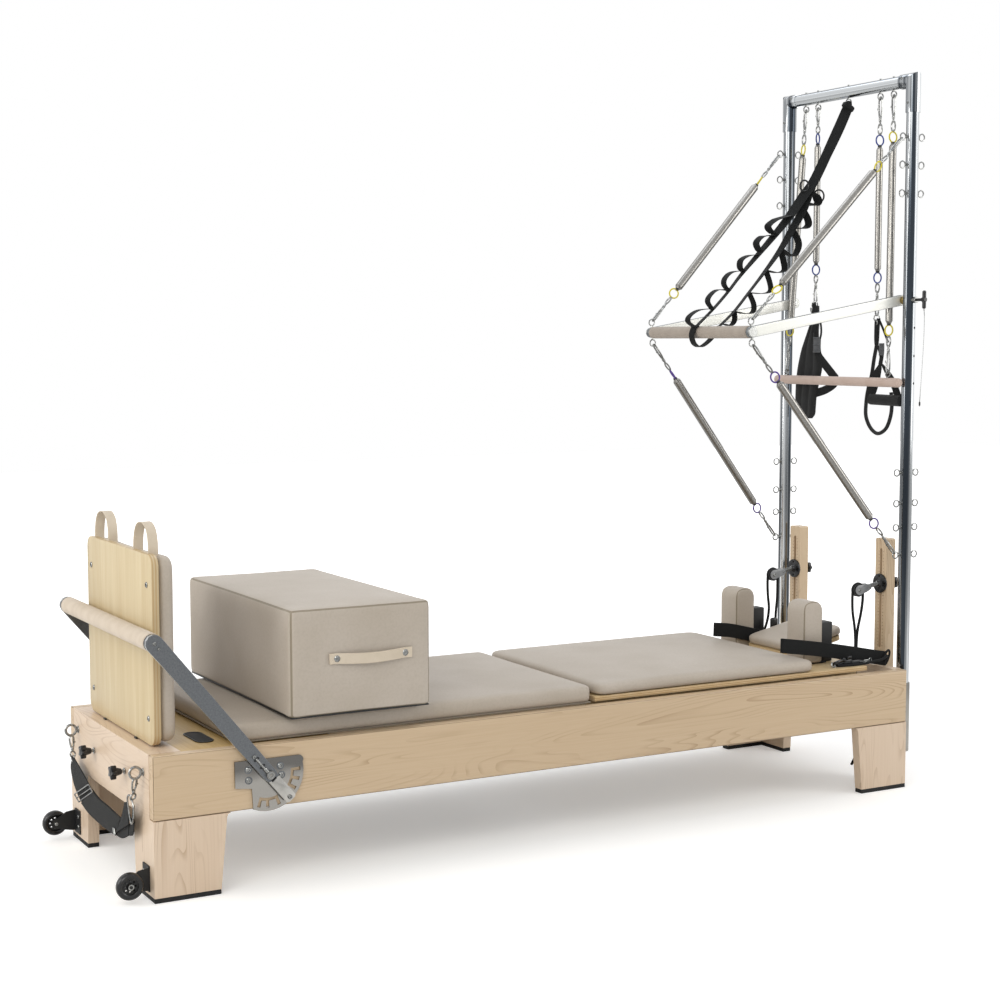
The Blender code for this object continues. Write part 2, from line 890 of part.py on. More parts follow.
def shoulder_rests():
    top = deck_top()
    low_z = top + 0.002
    high_z = low_z + REST_HEIGHT
    middle_x = (REST_START + REST_END) / 2
    middle_z = (low_z + high_z) / 2
    half_x = (REST_END - REST_START) / 2
    half_z = REST_HEIGHT / 2
    width = REST_OUTER - REST_INNER

    def tombstone(inset):
        round_top = 0.031 - inset
        return rounded_box_outline(
            (-half_x + inset, -half_z + inset),
            (half_x - inset, half_z - inset),
            (0.010 - inset, 0.010 - inset, round_top, round_top),
            4,
        )

    for side_name, side in SIDES:
        pad = lofted(
            f"{side_name}_shoulder_rest",
            tombstone,
            [(0.006, 0.0), (0.0, 0.007), (0.0, width - 0.007), (0.006, width)],
            "vinyl",
        )
        turn = Matrix.Rotation(0 if side < 0 else math.pi, 4, "Z")
        place = Matrix.Translation((middle_x, side * REST_INNER, middle_z))
        pad.data.transform(place @ turn @ TO_XZ)
        low, high = sorted((side * REST_POST_INNER, side * REST_POST_OUTER))
        bracket = boxes(
            f"{side_name}_rest_bracket",
            [((REST_END - 0.003, low, top + TOUCH), (REST_POST_END, high, REST_POST_TOP))],
            "black_plastic",
        )
        join(pad, bracket)


def headrest():
    """Board and pad in one piece, hinged at its tower-side edge of the pad gap."""
    half_length_x = HEADREST_LENGTH / 2
    start = 0.004
    thickness = HEADREST_BOARD
    cushion = lofted(
        "headrest",
        lambda inset: rounded_rectangle(
            half_length_x - inset, HEADREST_HALF_WIDTH - inset, 0.028 - inset, 4, draw=0.002 + inset
        ),
        [
            (0.0, 0.0),
            (0.0, thickness),
            (0.002, thickness + 0.001),
            (0.0, thickness + 0.006),
            (0.002, thickness + HEADREST_PAD * 0.65),
            (0.010, thickness + HEADREST_PAD * 0.9),
            (0.035, thickness + HEADREST_PAD),
        ],
        "vinyl",
        crown=0.002,
    )
    cushion.data.transform(Matrix.Translation((start + half_length_x, 0, 0)))
    leaves = boxes(
        "headrest_leaves",
        [((0.0, low, 0.0005), (0.020, high, 0.0030)) for low, high in LEAF_SPANS],
        "steel",
    )
    barrels = rods(
        "headrest_barrels",
        [((0, low, 0), (0, high, 0)) for low, high in LEAF_SPANS],
        KNUCKLE_RADIUS,
        "steel",
        10,
    )
    pivot = (HEADREST_HINGE_X, 0, deck_top() + HEADREST_HINGE_RISE)
    for obj in (cushion, leaves, barrels):
        obj.location = pivot
        obj.rotation_euler.y = -HEADREST_TILT
    join(cushion, leaves, barrels)


# Conversion mat, sitting box and jump board


def mat_and_box():
    bottom = RAIL_TOP + TOUCH
    half = (MAT_END - MAT_START) / 2
    mat = lofted(
        "conversion_mat",
        lambda inset: rounded_rectangle(
            half - inset, MAT_HALF_WIDTH - inset, 0.045 - inset, 4, draw=0.003 + inset
        ),
        [
            (0.003, bottom),
            (0.000, bottom + 0.008),
            (0.001, bottom + MAT_SIDE_HEIGHT * 0.8),
            (0.008, bottom + MAT_SIDE_HEIGHT),
            (0.040, bottom + MAT_SIDE_HEIGHT + MAT_CROWN * 0.7),
            (0.070, bottom + MAT_SIDE_HEIGHT + MAT_CROWN),
        ],
        "vinyl",
        crown=0.0001,
    )
    mat.location.x = (MAT_START + MAT_END) / 2
    seat = bottom + MAT_SIDE_HEIGHT + MAT_CROWN + 0.0001 + TOUCH
    half = (BOX_END - BOX_START) / 2
    seat_box = lofted(
        "sitting_box",
        lambda inset: rounded_rectangle(
            half - inset, BOX_HALF_WIDTH - inset, 0.020 - inset * 0.4, 3, draw=0.002 + inset
        ),
        [
            (0.006, seat),
            (0.000, seat + 0.006),
            (0.002, seat + BOX_HEIGHT * 0.5),
            (0.000, seat + BOX_HEIGHT - 0.020),
            (0.005, seat + BOX_HEIGHT - 0.007),
            (0.016, seat + BOX_HEIGHT),
        ],
        "vinyl",
        crown=0.004,
    )
    seat_box.location.x = (BOX_START + BOX_END) / 2


def jump_board():
    low = (-JUMP_BOARD_HALF_WIDTH, JUMP_BOARD_BOTTOM)
    high = (JUMP_BOARD_HALF_WIDTH, JUMP_BOARD_TOP)
    corner = JUMP_BOARD_CORNER
    back_x = JUMP_BOARD_FACE_X + JUMP_BOARD_THICKNESS
    board = plate(
        "jump_board",
        [rounded_box_outline(low, high, (corner, corner, corner, corner), 4)],
        TO_YZ,
        JUMP_BOARD_FACE_X,
        back_x,
        "birch_ply",
    )
    start = JUMP_BOARD_FACE_X + 0.007
    pegs = boxes(
        "jump_board_pegs",
        [
            (
                (start, side * PEG_SPREAD - PEG_WIDTH / 2, JUMP_BOARD_BOTTOM - PEG_REACH),
                (
                    start + PEG_THICKNESS,
                    side * PEG_SPREAD + PEG_WIDTH / 2,
                    JUMP_BOARD_BOTTOM + 0.010,
                ),
            )
            for _, side in SIDES
        ],
        "steel",
    )
    join(board, pegs)
    middle = back_x - LOOP_BAND_WIDTH / 2 + 0.008
    for side_name, side in SIDES:
        band = plate(
            f"{side_name}_foot_loop",
            [foot_loop_outline(side * LOOP_SPREAD)],
            TO_YZ,
            middle - LOOP_BAND_WIDTH / 2,
            middle + LOOP_BAND_WIDTH / 2 - 0.0085,
            "beige_webbing",
        )
        join(board, band)
    half_width_y = JUMP_BOARD_HALF_WIDTH
    half_height = (JUMP_BOARD_TOP - JUMP_BOARD_BOTTOM) / 2
    pad = lofted(
        "jump_pad",
        lambda inset: rounded_rectangle(
            half_width_y - inset, half_height - inset, 0.034 - inset * 0.3, 4, draw=0.003 + inset
        ),
        [
            (0.002, 0.0),
            (0.000, 0.010),
            (0.003, JUMP_PAD_DEPTH * 0.55),
            (0.013, JUMP_PAD_DEPTH * 0.82),
            (0.040, JUMP_PAD_DEPTH * 0.97),
        ],
        "vinyl",
        crown=JUMP_PAD_DEPTH * 0.03,
    )
    middle_z = (JUMP_BOARD_TOP + JUMP_BOARD_BOTTOM) / 2
    pad.data.transform(Matrix.Translation((back_x + TOUCH, 0, middle_z)) @ TO_YZ)


def foot_loop_outline(middle):
    """A band bent over into an arch, seen along X, sunk into the board's top edge."""
    base = JUMP_BOARD_TOP - 0.010
    crest = JUMP_BOARD_TOP + LOOP_RISE
    outer = []
    inner = []
    steps = 10
    for step in range(steps + 1):
        angle = math.pi * step / steps
        for points, thickness in ((outer, 0.0), (inner, LOOP_BAND_THICKNESS)):
            reach = LOOP_HALF_WIDTH - thickness
            rise = crest - base - thickness
            lift = math.sin(angle) ** 0.6 if 0 < step < steps else 0.0
            points.append((middle + reach * math.cos(angle), base + rise * lift))
    return outer + inner[::-1]


# Footbar


def polar(radius, degrees):
    angle = math.radians(degrees)
    return (PIVOT_X + radius * math.cos(angle), PIVOT_Z + radius * math.sin(angle))


def gear_plate_outline():
    rim = [polar(0.095, -114 + 126 * step / 12) for step in range(13)]
    corner = arc((PIVOT_X + 0.083, PIVOT_Z + 0.025), 0.012, 0, 90, 3)
    return [
        (PIVOT_X - 0.086, PIVOT_Z + 0.037),
        (PIVOT_X - 0.085, PIVOT_Z - 0.029),
        (PIVOT_X - 0.042, PIVOT_Z - 0.034),
        *rim,
        *corner,
    ]


def notched_window(start, end, teeth):
    """A curved window round the pivot with a notch outward at each angle in teeth."""
    inner = [polar(0.0615, start + (end - start) * step / 4) for step in range(5)]
    outer = []
    half = 3.0
    for tooth in sorted(teeth, key=lambda angle: abs(angle - end)):
        before, after = (half, -half) if end < start else (-half, half)
        outer += [
            polar(0.0690, tooth - before),
            polar(0.0865, tooth - before),
            polar(0.0865, tooth - after),
            polar(0.0690, tooth - after),
        ]
    return inner + outer


def gear_plates():
    for side_name, side in SIDES:
        inner = half_width() + TOUCH
        outer = inner + PLATE_THICKNESS
        low, high = sorted((side * inner, side * outer))
        gear = plate(
            f"{side_name}_gear_plate",
            [
                gear_plate_outline(),
                notched_window(6, -36, (2, -15, -32)),
                notched_window(-66, -111, (-70, -91, -107)),
            ],
            TO_XZ,
            low,
            high,
            "steel",
        )
        arm_outer = ARM_INNER + ARM_THICKNESS
        pin = turned(
            f"{side_name}_footbar_pin",
            [
                (0, arm_outer + 0.0065),
                (0.0110, arm_outer + 0.0065),
                (0.0110, arm_outer + RUNNING),
                (PIVOT_PIN_RADIUS, arm_outer + RUNNING),
                (PIVOT_PIN_RADIUS, ARM_INNER - TOUCH),
                (0.0120, ARM_INNER - TOUCH),
                (0.0120, inner + 0.001),
                (0, inner + 0.001),
            ],
            "steel",
            (PIVOT_X, 0, PIVOT_Z),
            (0, side, 0),
            16,
        )
        join(gear, pin)


def footbar_point(along, across):
    """A point in the plane of the arms: along from the pivot to the bar, and across."""
    cos = math.cos(FOOTBAR_ANGLE)
    sin = math.sin(FOOTBAR_ANGLE)
    return (PIVOT_X + along * cos - across * sin, PIVOT_Z + along * sin + across * cos)


def footbar_arm_outline():
    points = [
        footbar_point(FOOTBAR_REACH + across, along)
        for across, along in arc((0, 0), ARM_HALF_AT_BAR, -90, 90, 6)
    ]
    points += [
        footbar_point(-0.004, ARM_HALF_NEAR_PIVOT),
        footbar_point(-0.014, TONGUE_HALF),
        footbar_point(-TONGUE_LENGTH + 0.003, TONGUE_HALF),
        footbar_point(-TONGUE_LENGTH, TONGUE_HALF - 0.003),
        footbar_point(-TONGUE_LENGTH, -TONGUE_HALF + 0.003),
        footbar_point(-TONGUE_LENGTH + 0.003, -TONGUE_HALF),
        footbar_point(-0.014, -TONGUE_HALF),
        footbar_point(-0.004, -ARM_HALF_NEAR_PIVOT),
    ]
    return points


def footbar():
    bar_x, bar_z = footbar_point(FOOTBAR_REACH, 0)
    bore = arc((PIVOT_X, PIVOT_Z), PIVOT_PIN_RADIUS + RUNNING + 0.0002, 0, 337.5, 15)
    pin_x, pin_z = footbar_point(-0.0800, 0)
    arms = []
    for side_name, side in SIDES:
        low, high = sorted((side * ARM_INNER, side * (ARM_INNER + ARM_THICKNESS)))
        arms.append(
            plate(
                "footbar_frame" if side < 0 else "far_footbar_arm",
                [footbar_arm_outline(), bore],
                TO_XZ,
                low,
                high,
                "dark_steel",
            )
        )
    frame = arms[0]
    pins = [
        (
            (pin_x, side * (half_width() + TOUCH + PLATE_THICKNESS + RUNNING), pin_z),
            (pin_x, side * (ARM_INNER + 0.002), pin_z),
        )
        for _, side in SIDES
    ]
    bar = rod(
        "footbar_tube",
        (bar_x, -ARM_INNER - 0.0015, bar_z),
        (bar_x, ARM_INNER + 0.0015, bar_z),
        FOOTBAR_RADIUS,
        "dark_steel",
        16,
    )
    join(frame, bar, rods("locking_pins", pins, 0.005, "steel", 10), arms[1])
    bore_radius = FOOTBAR_RADIUS + TOUCH + 0.0003
    grip = [
        (FOOTBAR_GRIP_RADIUS - 0.003, FOOTBAR_GRIP_HALF),
        (FOOTBAR_GRIP_RADIUS, FOOTBAR_GRIP_HALF - 0.003),
        (FOOTBAR_GRIP_RADIUS, -FOOTBAR_GRIP_HALF + 0.003),
        (FOOTBAR_GRIP_RADIUS - 0.003, -FOOTBAR_GRIP_HALF),
        (bore_radius, -FOOTBAR_GRIP_HALF),
        (bore_radius, FOOTBAR_GRIP_HALF),
    ]
    turned("footbar_grip", grip, "grip_foam", (bar_x, 0, bar_z), (0, 1, 0), 20)


# Foot-end hardware


def star_knob_outline(centre, radius, lobes=5):
    points = []
    for lobe in range(lobes):
        for part, size in ((-0.30, 0.92), (0.0, 1.0), (0.30, 0.92), (0.5, 0.68)):
            angle = math.tau * (lobe + part) / lobes
            points.append(
                (
                    centre[0] + radius * size * math.cos(angle),
                    centre[1] + radius * size * math.sin(angle),
                )
            )
    return points


def foot_end_knobs():
    face = -half_length()
    for side_name, side in SIDES:
        knob = plate(
            f"{side_name}_star_knob",
            [star_knob_outline((side * PEG_SPREAD, KNOB_Z), KNOB_RADIUS)],
            TO_YZ,
            face - 0.038,
            face - 0.018,
            "black_plastic",
        )
        stud_end = JUMP_BOARD_FACE_X + 0.007 - 0.002
        join(
            knob,
            rod(
                f"{side_name}_knob_boss",
                (face - 0.020, side * PEG_SPREAD, KNOB_Z),
                (face - TOUCH, side * PEG_SPREAD, KNOB_Z),
                0.009,
                "black_plastic",
                12,
            ),
            rod(
                f"{side_name}_knob_stud",
                (face - 0.010, side * PEG_SPREAD, KNOB_Z),
                (stud_end, side * PEG_SPREAD, KNOB_Z),
                KNOB_STUD_RADIUS,
                "steel",
                12,
            ),
        )


def casters():
    face = -half_length()
    for side_name, side in SIDES:
        wheel_inner = side * (CASTER_SPREAD - CASTER_WIDTH / 2)
        arm_outer = wheel_inner - side * 0.0012
        arm_inner = arm_outer - side * CASTER_ARM
        low, high = sorted((arm_outer, arm_inner))
        arm = plate(
            f"{side_name}_caster_bracket",
            [
                [
                    (face - 0.001, CASTER_Z + 0.034),
                    (face - 0.001, CASTER_Z - 0.022),
                    (face - 0.012, CASTER_Z - 0.022),
                    *arc((CASTER_X, CASTER_Z), 0.013, 270, 90, 6),
                    (face - 0.028, CASTER_Z + 0.030),
                ]
            ],
            TO_XZ,
            low,
            high,
            "black_plastic",
        )
        flange_end = arm_outer - side * 0.046
        low, high = sorted((arm_outer, flange_end))
        flange = box(
            f"{side_name}_caster_flange",
            (face - 0.0040, low, CASTER_Z - 0.026),
            (face - TOUCH, high, CASTER_Z + 0.038),
            "black_plastic",
        )
        axle = rod(
            f"{side_name}_caster_axle",
            (CASTER_X, arm_outer - side * 0.001, CASTER_Z),
            (CASTER_X, side * (CASTER_SPREAD + CASTER_WIDTH / 2 + 0.003), CASTER_Z),
            0.004,
            "steel",
            12,
        )
        join(arm, flange, axle)
        half = CASTER_WIDTH / 2
        tyre = [
            (CASTER_RADIUS - 0.005, half),
            (CASTER_RADIUS, half - 0.006),
            (CASTER_RADIUS, -half + 0.006),
            (CASTER_RADIUS - 0.005, -half),
            (0.0045, -half),
            (0.0045, half),
        ]
        place = (CASTER_X, side * CASTER_SPREAD, CASTER_Z)
        turned(f"{side_name}_caster_wheel", tyre, "black_plastic", place, (0, 1, 0), 20)


def carry_strap():
    """A padded band hung between the two foot-end eye bolts, seen along X as a 2D outline."""
    hook_z = EYE_BOLT_Z - EYE_BOLT_RADIUS - TOUCH
    line = [
        (EYE_BOLT_SPREAD, hook_z),
        (EYE_BOLT_SPREAD - 0.005, EYE_BOLT_Z - 0.073),
        (EYE_BOLT_SPREAD - 0.072, EYE_BOLT_Z - 0.108),
        (EYE_BOLT_SPREAD - 0.137, EYE_BOLT_Z - 0.138),
        (0.060, EYE_BOLT_Z - 0.158),
        (-0.060, EYE_BOLT_Z - 0.175),
        (0.127 - EYE_BOLT_SPREAD, EYE_BOLT_Z - 0.184),
        (0.072 - EYE_BOLT_SPREAD, EYE_BOLT_Z - 0.178),
        (0.037 - EYE_BOLT_SPREAD, EYE_BOLT_Z - 0.143),
        (0.009 - EYE_BOLT_SPREAD, EYE_BOLT_Z - 0.093),
        (-EYE_BOLT_SPREAD, hook_z),
    ]
    halves = (0.003, 0.009, 0.012, 0.016, 0.020, 0.022, 0.022, 0.020, 0.012, 0.008, 0.003)
    upper = []
    lower = []
    for number, ((y, z), half) in enumerate(zip(line, halves)):
        before = Vector(line[max(number - 1, 0)])
        after = Vector(line[min(number + 1, len(line) - 1)])
        along = (after - before).normalized()
        normal = Vector((-along.y, along.x))
        spot = Vector((y, z))
        upper.append(tuple(spot + normal * half))
        lower.append(tuple(spot - normal * half))
    plate(
        "carry_strap",
        [upper + lower[::-1]],
        TO_YZ,
        EYE_BOLT_X - 0.006,
        EYE_BOLT_X + 0.006,
        "webbing",
    )


# Pulley risers


def risers():
    face = RISER_FACE_X
    for side_name, side in SIDES:
        low, high = sorted((side * RISER_INNER, side * RISER_OUTER))
        middle = side * (RISER_INNER + RISER_OUTER) / 2
        slot = rounded_box_outline(
            (middle - SLOT_WIDTH / 2, SLOT_BOTTOM),
            (middle + SLOT_WIDTH / 2, SLOT_TOP),
            (0.0049, 0.0049, 0.0049, 0.0049),
            3,
        )
        riser = plate(
            f"{side_name}_pulley_riser",
            [rounded_box_outline((low, RISER_BOTTOM), (high, RISER_TOP), (0, 0, 0.004, 0.004), 1), slot],
            TO_YZ,
            face,
            face + RISER_DEPTH,
            "maple",
        )
        spacer = box(
            f"{side_name}_riser_spacer",
            (half_length() + TOUCH, low + 0.004, RISER_BOTTOM + 0.008),
            (face + 0.006, high - 0.004, RAIL_TOP - 0.012),
            "maple",
        )
        join(riser, spacer)
        pulley(side_name, side, middle)


def pulley(side_name, side, middle):
    """Mount plate on the riser's face, its stem and knob, and the fork that holds the wheel."""
    face = RISER_FACE_X - TOUCH
    back = RISER_FACE_X + RISER_DEPTH + TOUCH
    stem_z = PULLEY_STEM_Z
    mount = turned(
        f"{side_name}_pulley_mount",
        [
            (0, 0.034),
            (0.0075, 0.034),
            (0.0095, 0.010),
            (0.012, 0.0060),
            (DISC_RADIUS - 0.002, 0.0060),
            (DISC_RADIUS, 0.0040),
            (DISC_RADIUS, 0.0),
            (0.0044, 0.0),
            (0.0044, face - back),
            (0.011, face - back),
            (KNOB_RADIUS - 0.002, face - back - 0.008),
            (KNOB_RADIUS, face - back - 0.012),
            (KNOB_RADIUS, face - PULLEY_KNOB_END + 0.003),
            (KNOB_RADIUS - 0.003, face - PULLEY_KNOB_END),
            (0, face - PULLEY_KNOB_END),
        ],
        "black_plastic",
        (face, middle, stem_z),
        (-1, 0, 0),
        12,
    )
    cheek = PULLEY_WIDTH / 2 + 0.0012
    outline = []
    wheel = Vector((PULLEY_X, PULLEY_Z))
    neck = Vector((face - 0.030, stem_z))
    along = (neck - wheel).normalized()
    tilt = math.degrees(math.atan2(along.y, along.x))
    outline += arc(wheel, PULLEY_RADIUS * 0.62, tilt + 90, tilt + 270, 6)
    across = Vector((-along.y, along.x)) * 0.008
    outline += [tuple(neck - across), tuple(neck + across)]
    yokes = []
    for number, (low, high) in enumerate(((-cheek - 0.0025, -cheek), (cheek, cheek + 0.0025))):
        yokes.append(
            plate(
                f"{side_name}_pulley_cheek_{number}",
                [outline],
                TO_XZ,
                middle + low,
                middle + high,
                "black_plastic",
            )
        )
    bridge_start = wheel + along * (PULLEY_RADIUS + 0.006)
    bridge = box(
        f"{side_name}_pulley_bridge",
        (bridge_start.x, middle - cheek - 0.0024, stem_z - 0.0078),
        (face - 0.028, middle + cheek + 0.0024, stem_z + 0.0062),
        "black_plastic",
    )
    pin = rod(
        f"{side_name}_pulley_pin",
        (PULLEY_X, middle - cheek - 0.003, PULLEY_Z),
        (PULLEY_X, middle + cheek + 0.003, PULLEY_Z),
        0.003,
        "steel",
        12,
    )
    join(mount, bridge, *yokes, pin)
    half = PULLEY_WIDTH / 2
    sheave = [
        (PULLEY_RADIUS, half),
        (PULLEY_RADIUS - 0.0055, 0.0025),
        (PULLEY_RADIUS - 0.0055, -0.0025),
        (PULLEY_RADIUS, -half),
        (0.0035, -half),
        (0.0035, half),
    ]
    place = (PULLEY_X, middle, PULLEY_Z)
    turned(f"{side_name}_pulley_wheel", sheave, "black_plastic", place, (0, 1, 0), 16)


# Tower


def posts():
    wall_inner = POST_RADIUS - POST_WALL
    for side_name, side in SIDES:
        centre = (POST_X, side * POST_SPREAD, 0)
        post = turned(
            f"{side_name}_post",
            [
                (POST_RADIUS, POST_TOP),
                (POST_RADIUS, POST_BOTTOM),
                (wall_inner, POST_BOTTOM),
                (wall_inner, POST_TOP),
            ],
            "steel",
            centre,
            (0, 0, 1),
            16,
        )
        sleeve = turned(
            f"{side_name}_base_sleeve",
            [
                (SLEEVE_RADIUS, BASE_SLEEVE_TOP),
                (SLEEVE_RADIUS, BASE_SLEEVE_BOTTOM),
                (POST_RADIUS - POST_WALL / 2, BASE_SLEEVE_BOTTOM),
                (POST_RADIUS - POST_WALL / 2, BASE_SLEEVE_TOP),
            ],
            "steel",
            centre,
            (0, 0, 1),
            16,
        )
        y = side * POST_SPREAD
        flange = box(
            f"{side_name}_post_flange",
            (half_length() + TOUCH, y - 0.027, BASE_SLEEVE_BOTTOM + 0.012),
            (POST_X - POST_RADIUS - 0.0005, y + 0.027, BASE_SLEEVE_TOP - 0.012),
            "steel",
        )
        heights = UPPER_EYES + LOWER_EYES
        eye_x = POST_X - EYE_REACH
        rings = eye_ring(f"{side_name}_post_eyes", [(eye_x, y, z) for z in heights])
        shanks = rods(
            f"{side_name}_eye_shanks",
            [
                ((eye_x + EYE_RADIUS - 0.002, y, z), (POST_X - POST_RADIUS + 0.001, y, z))
                for z in heights
            ],
            0.003,
            "steel",
            6,
        )
        face = POST_SPREAD - POST_RADIUS
        stud = turned(
            f"{side_name}_pivot_stud",
            [
                (0, -(PTB_ARM_INNER - 0.0015)),
                (PTB_STUD_RADIUS, -(PTB_ARM_INNER - 0.0015)),
                (PTB_STUD_RADIUS, -(PTB_ARM_OUTER + RUNNING)),
                (0.013, -(PTB_ARM_OUTER + RUNNING)),
                (0.013, -(face + 0.0010)),
                (0, -(face + 0.0010)),
            ],
            "steel",
            (POST_X, 0, PTB_PIVOT_Z),
            (0, -side, 0),
            16,
        )
        join(post, sleeve, flange, rings, shanks, stud)
        if side < 0:
            outer = POST_SPREAD + POST_RADIUS
            barrel = rod(
                "pull_pin_barrel",
                (POST_X, -outer + 0.0015, PTB_PIVOT_Z),
                (POST_X, -outer - 0.015, PTB_PIVOT_Z),
                0.008,
                "steel",
                12,
            )
            join(post, barrel)
            bore = rod(
                "pull_pin_bore",
                (POST_X, -outer + 0.004, PTB_PIVOT_Z),
                (POST_X, -outer - 0.020, PTB_PIVOT_Z),
                0.0046,
                "steel",
                12,
            )
            cut(post, bore)


def pull_pin():
    outer = POST_SPREAD + POST_RADIUS
    bar_y = -outer - 0.045
    pin = rod(
        "pull_pin",
        (POST_X, -outer + 0.003, PTB_PIVOT_Z),
        (POST_X, bar_y, PTB_PIVOT_Z),
        0.0041,
        "black_plastic",
        12,
    )
    handle = rod(
        "pull_pin_handle",
        (POST_X, bar_y, PTB_PIVOT_Z - 0.026),
        (POST_X, bar_y, PTB_PIVOT_Z + 0.026),
        0.0052,
        "black_plastic",
        12,
    )
    join(pin, handle)


def top_bar():
    """Top tube with its two elbows and the sleeves that fit over the posts."""
    axis_z = TOWER_TOP - POST_RADIUS
    bend = ELBOW_RADIUS
    start = POST_TOP + 0.006
    half = [(POST_SPREAD, start)]
    half += arc((POST_SPREAD - bend, axis_z - bend), bend, 0, 90, 5)
    path = [(POST_X, y, z) for y, z in half]
    path += [(POST_X, -y, z) for y, z in half[::-1]]
    bar = as_mesh(tube("top_bar", path, POST_RADIUS, "steel", 4))
    sleeve_ends = [
        ((POST_X, side * POST_SPREAD, TOP_SLEEVE_BOTTOM), (POST_X, side * POST_SPREAD, POST_TOP + 0.015))
        for _, side in SIDES
    ]
    join(bar, rods("top_sleeves", sleeve_ends, SLEEVE_RADIUS, "steel", 16))
    bores = [
        (
            (POST_X, side * POST_SPREAD, TOP_SLEEVE_BOTTOM - 0.010),
            (POST_X, side * POST_SPREAD, POST_TOP + TOUCH),
        )
        for _, side in SIDES
    ]
    cut(bar, rods("sleeve_bores", bores, POST_RADIUS + RUNNING, "steel", 16))
    rings = eye_ring("top_eyes", [(POST_X, y, TOP_EYE_Z) for y in TOP_EYES])
    join(bar, rings)


# Push-through bar


def ptb_point(along, across):
    """A point in the plane of the bar's arms, from the pivot towards the bar."""
    dx = PTB_BAR_X - POST_X
    dz = PTB_BAR_Z - PTB_PIVOT_Z
    length = math.hypot(dx, dz)
    return (
        POST_X + (along * dx - across * dz) / length,
        PTB_PIVOT_Z + (along * dz + across * dx) / length,
    )


def push_through_bar():
    length = math.hypot(PTB_BAR_X - POST_X, PTB_BAR_Z - PTB_PIVOT_Z)
    half = PTB_ARM_HALF_HEIGHT
    outline = [ptb_point(length + a, b) for a, b in arc((0, 0), half, -90, 90, 6)]
    outline += [ptb_point(a, b) for a, b in arc((0, 0), half, 90, 270, 6)]
    bore = arc((POST_X, PTB_PIVOT_Z), PTB_STUD_RADIUS + RUNNING + 0.0002, 0, 337.5, 15)
    arms = []
    for side_name, side in SIDES:
        low, high = sorted((side * PTB_ARM_INNER, side * PTB_ARM_OUTER))
        name = "push_through_bar" if side < 0 else "far_push_through_arm"
        arms.append(plate(name, [outline, bore], TO_XZ, low, high, "white_metal"))
    frame = arms[0]
    reach = PTB_ARM_INNER + 0.004
    grip = rod(
        "push_through_grip",
        (PTB_BAR_X, -reach, PTB_BAR_Z),
        (PTB_BAR_X, reach, PTB_BAR_Z),
        PTB_GRIP_RADIUS,
        "grip_foam",
        20,
    )
    middle = (PTB_ARM_INNER + PTB_ARM_OUTER) / 2
    eyes = ptb_eyes()
    centres = []
    shanks = []
    for _, side in SIDES:
        for x, z in eyes:
            centres.append((x, side * middle, z))
            rise = 1 if z > PTB_BAR_Z else -1
            shanks.append(
                (
                    (x, side * middle, PTB_BAR_Z + rise * (half - 0.003)),
                    (x, side * middle, z - rise * (EYE_RADIUS - 0.002)),
                )
            )
    join(
        frame,
        grip,
        rods("push_through_shanks", shanks, 0.003, "steel", 6),
        eye_ring("push_through_eyes", centres),
        arms[1],
    )
    set_origin(frame, (POST_X, 0, PTB_PIVOT_Z))


def ptb_eyes():
    """Centres of the upper and the lower eye at the free end of an arm, in X and Z."""
    return (
        (PTB_BAR_X, PTB_BAR_Z + PTB_EYE_RISE),
        (PTB_BAR_X + 0.004, PTB_BAR_Z - PTB_EYE_RISE),
    )


def roll_down_bar():
    bar = rod(
        "roll_down_bar",
        (ROLL_X, -ROLL_HALF, ROLL_Z),
        (ROLL_X, ROLL_HALF, ROLL_Z),
        ROLL_RADIUS,
        "grip_foam",
        16,
    )
    rings = eye_ring(
        "roll_down_eyes",
        [(ROLL_X, side * ROLL_EYE_SPREAD, roll_eye_z()) for _, side in SIDES],
    )
    join(bar, rings)


def roll_eye_z():
    return ROLL_Z + ROLL_RADIUS + EYE_RADIUS - 0.002


# Springs


def eye_reach(along):
    """How far a ring's corners stand out of its centre in a direction."""
    corners = [math.tau * corner / EYE_CORNERS for corner in range(EYE_CORNERS)]
    outermost = max(along.x * math.cos(angle) + along.z * math.sin(angle) for angle in corners)
    return EYE_RADIUS * outermost + EYE_WIDTH / 2 * abs(along.y)


def spring_points(start, end, lead_start, lead_end, end_is_eye):
    """One wire: straight from an eye, coiled about the line, and straight to its other end."""
    start = Vector(start)
    end = Vector(end)
    along = (end - start).normalized()
    begin = start + along * (eye_reach(along) + TOUCH)
    finish = end - along * (eye_reach(-along) + TOUCH) if end_is_eye else end
    side = along.orthogonal().normalized()
    other = along.cross(side)
    coil_start = start + along * lead_start
    coil_end = end - along * lead_end
    steps = CURLS * CURL_POINTS
    points = [begin, begin + along * 2 * WIRE_RADIUS * 1.5]
    for step in range(steps + 1):
        turn = math.tau * step / CURL_POINTS
        grow = min(1.0, (step + 0.5) / 4, (steps - step + 0.5) / 4)
        centre = coil_start.lerp(coil_end, step / steps)
        spread = COIL_RADIUS * grow
        points.append(centre + (side * math.cos(turn) + other * math.sin(turn)) * spread)
    points += [finish - along * 2 * WIRE_RADIUS * 1.5, finish]
    return points


def least_self_gap(points, radius):
    """Least gap between stretches of a wire that lie at least half a curl apart."""
    apart = CURL_POINTS // 2
    least = math.inf
    for first in range(len(points)):
        for second in range(first + apart, len(points)):
            least = min(least, (points[first] - points[second]).length)
    return least - 2 * radius


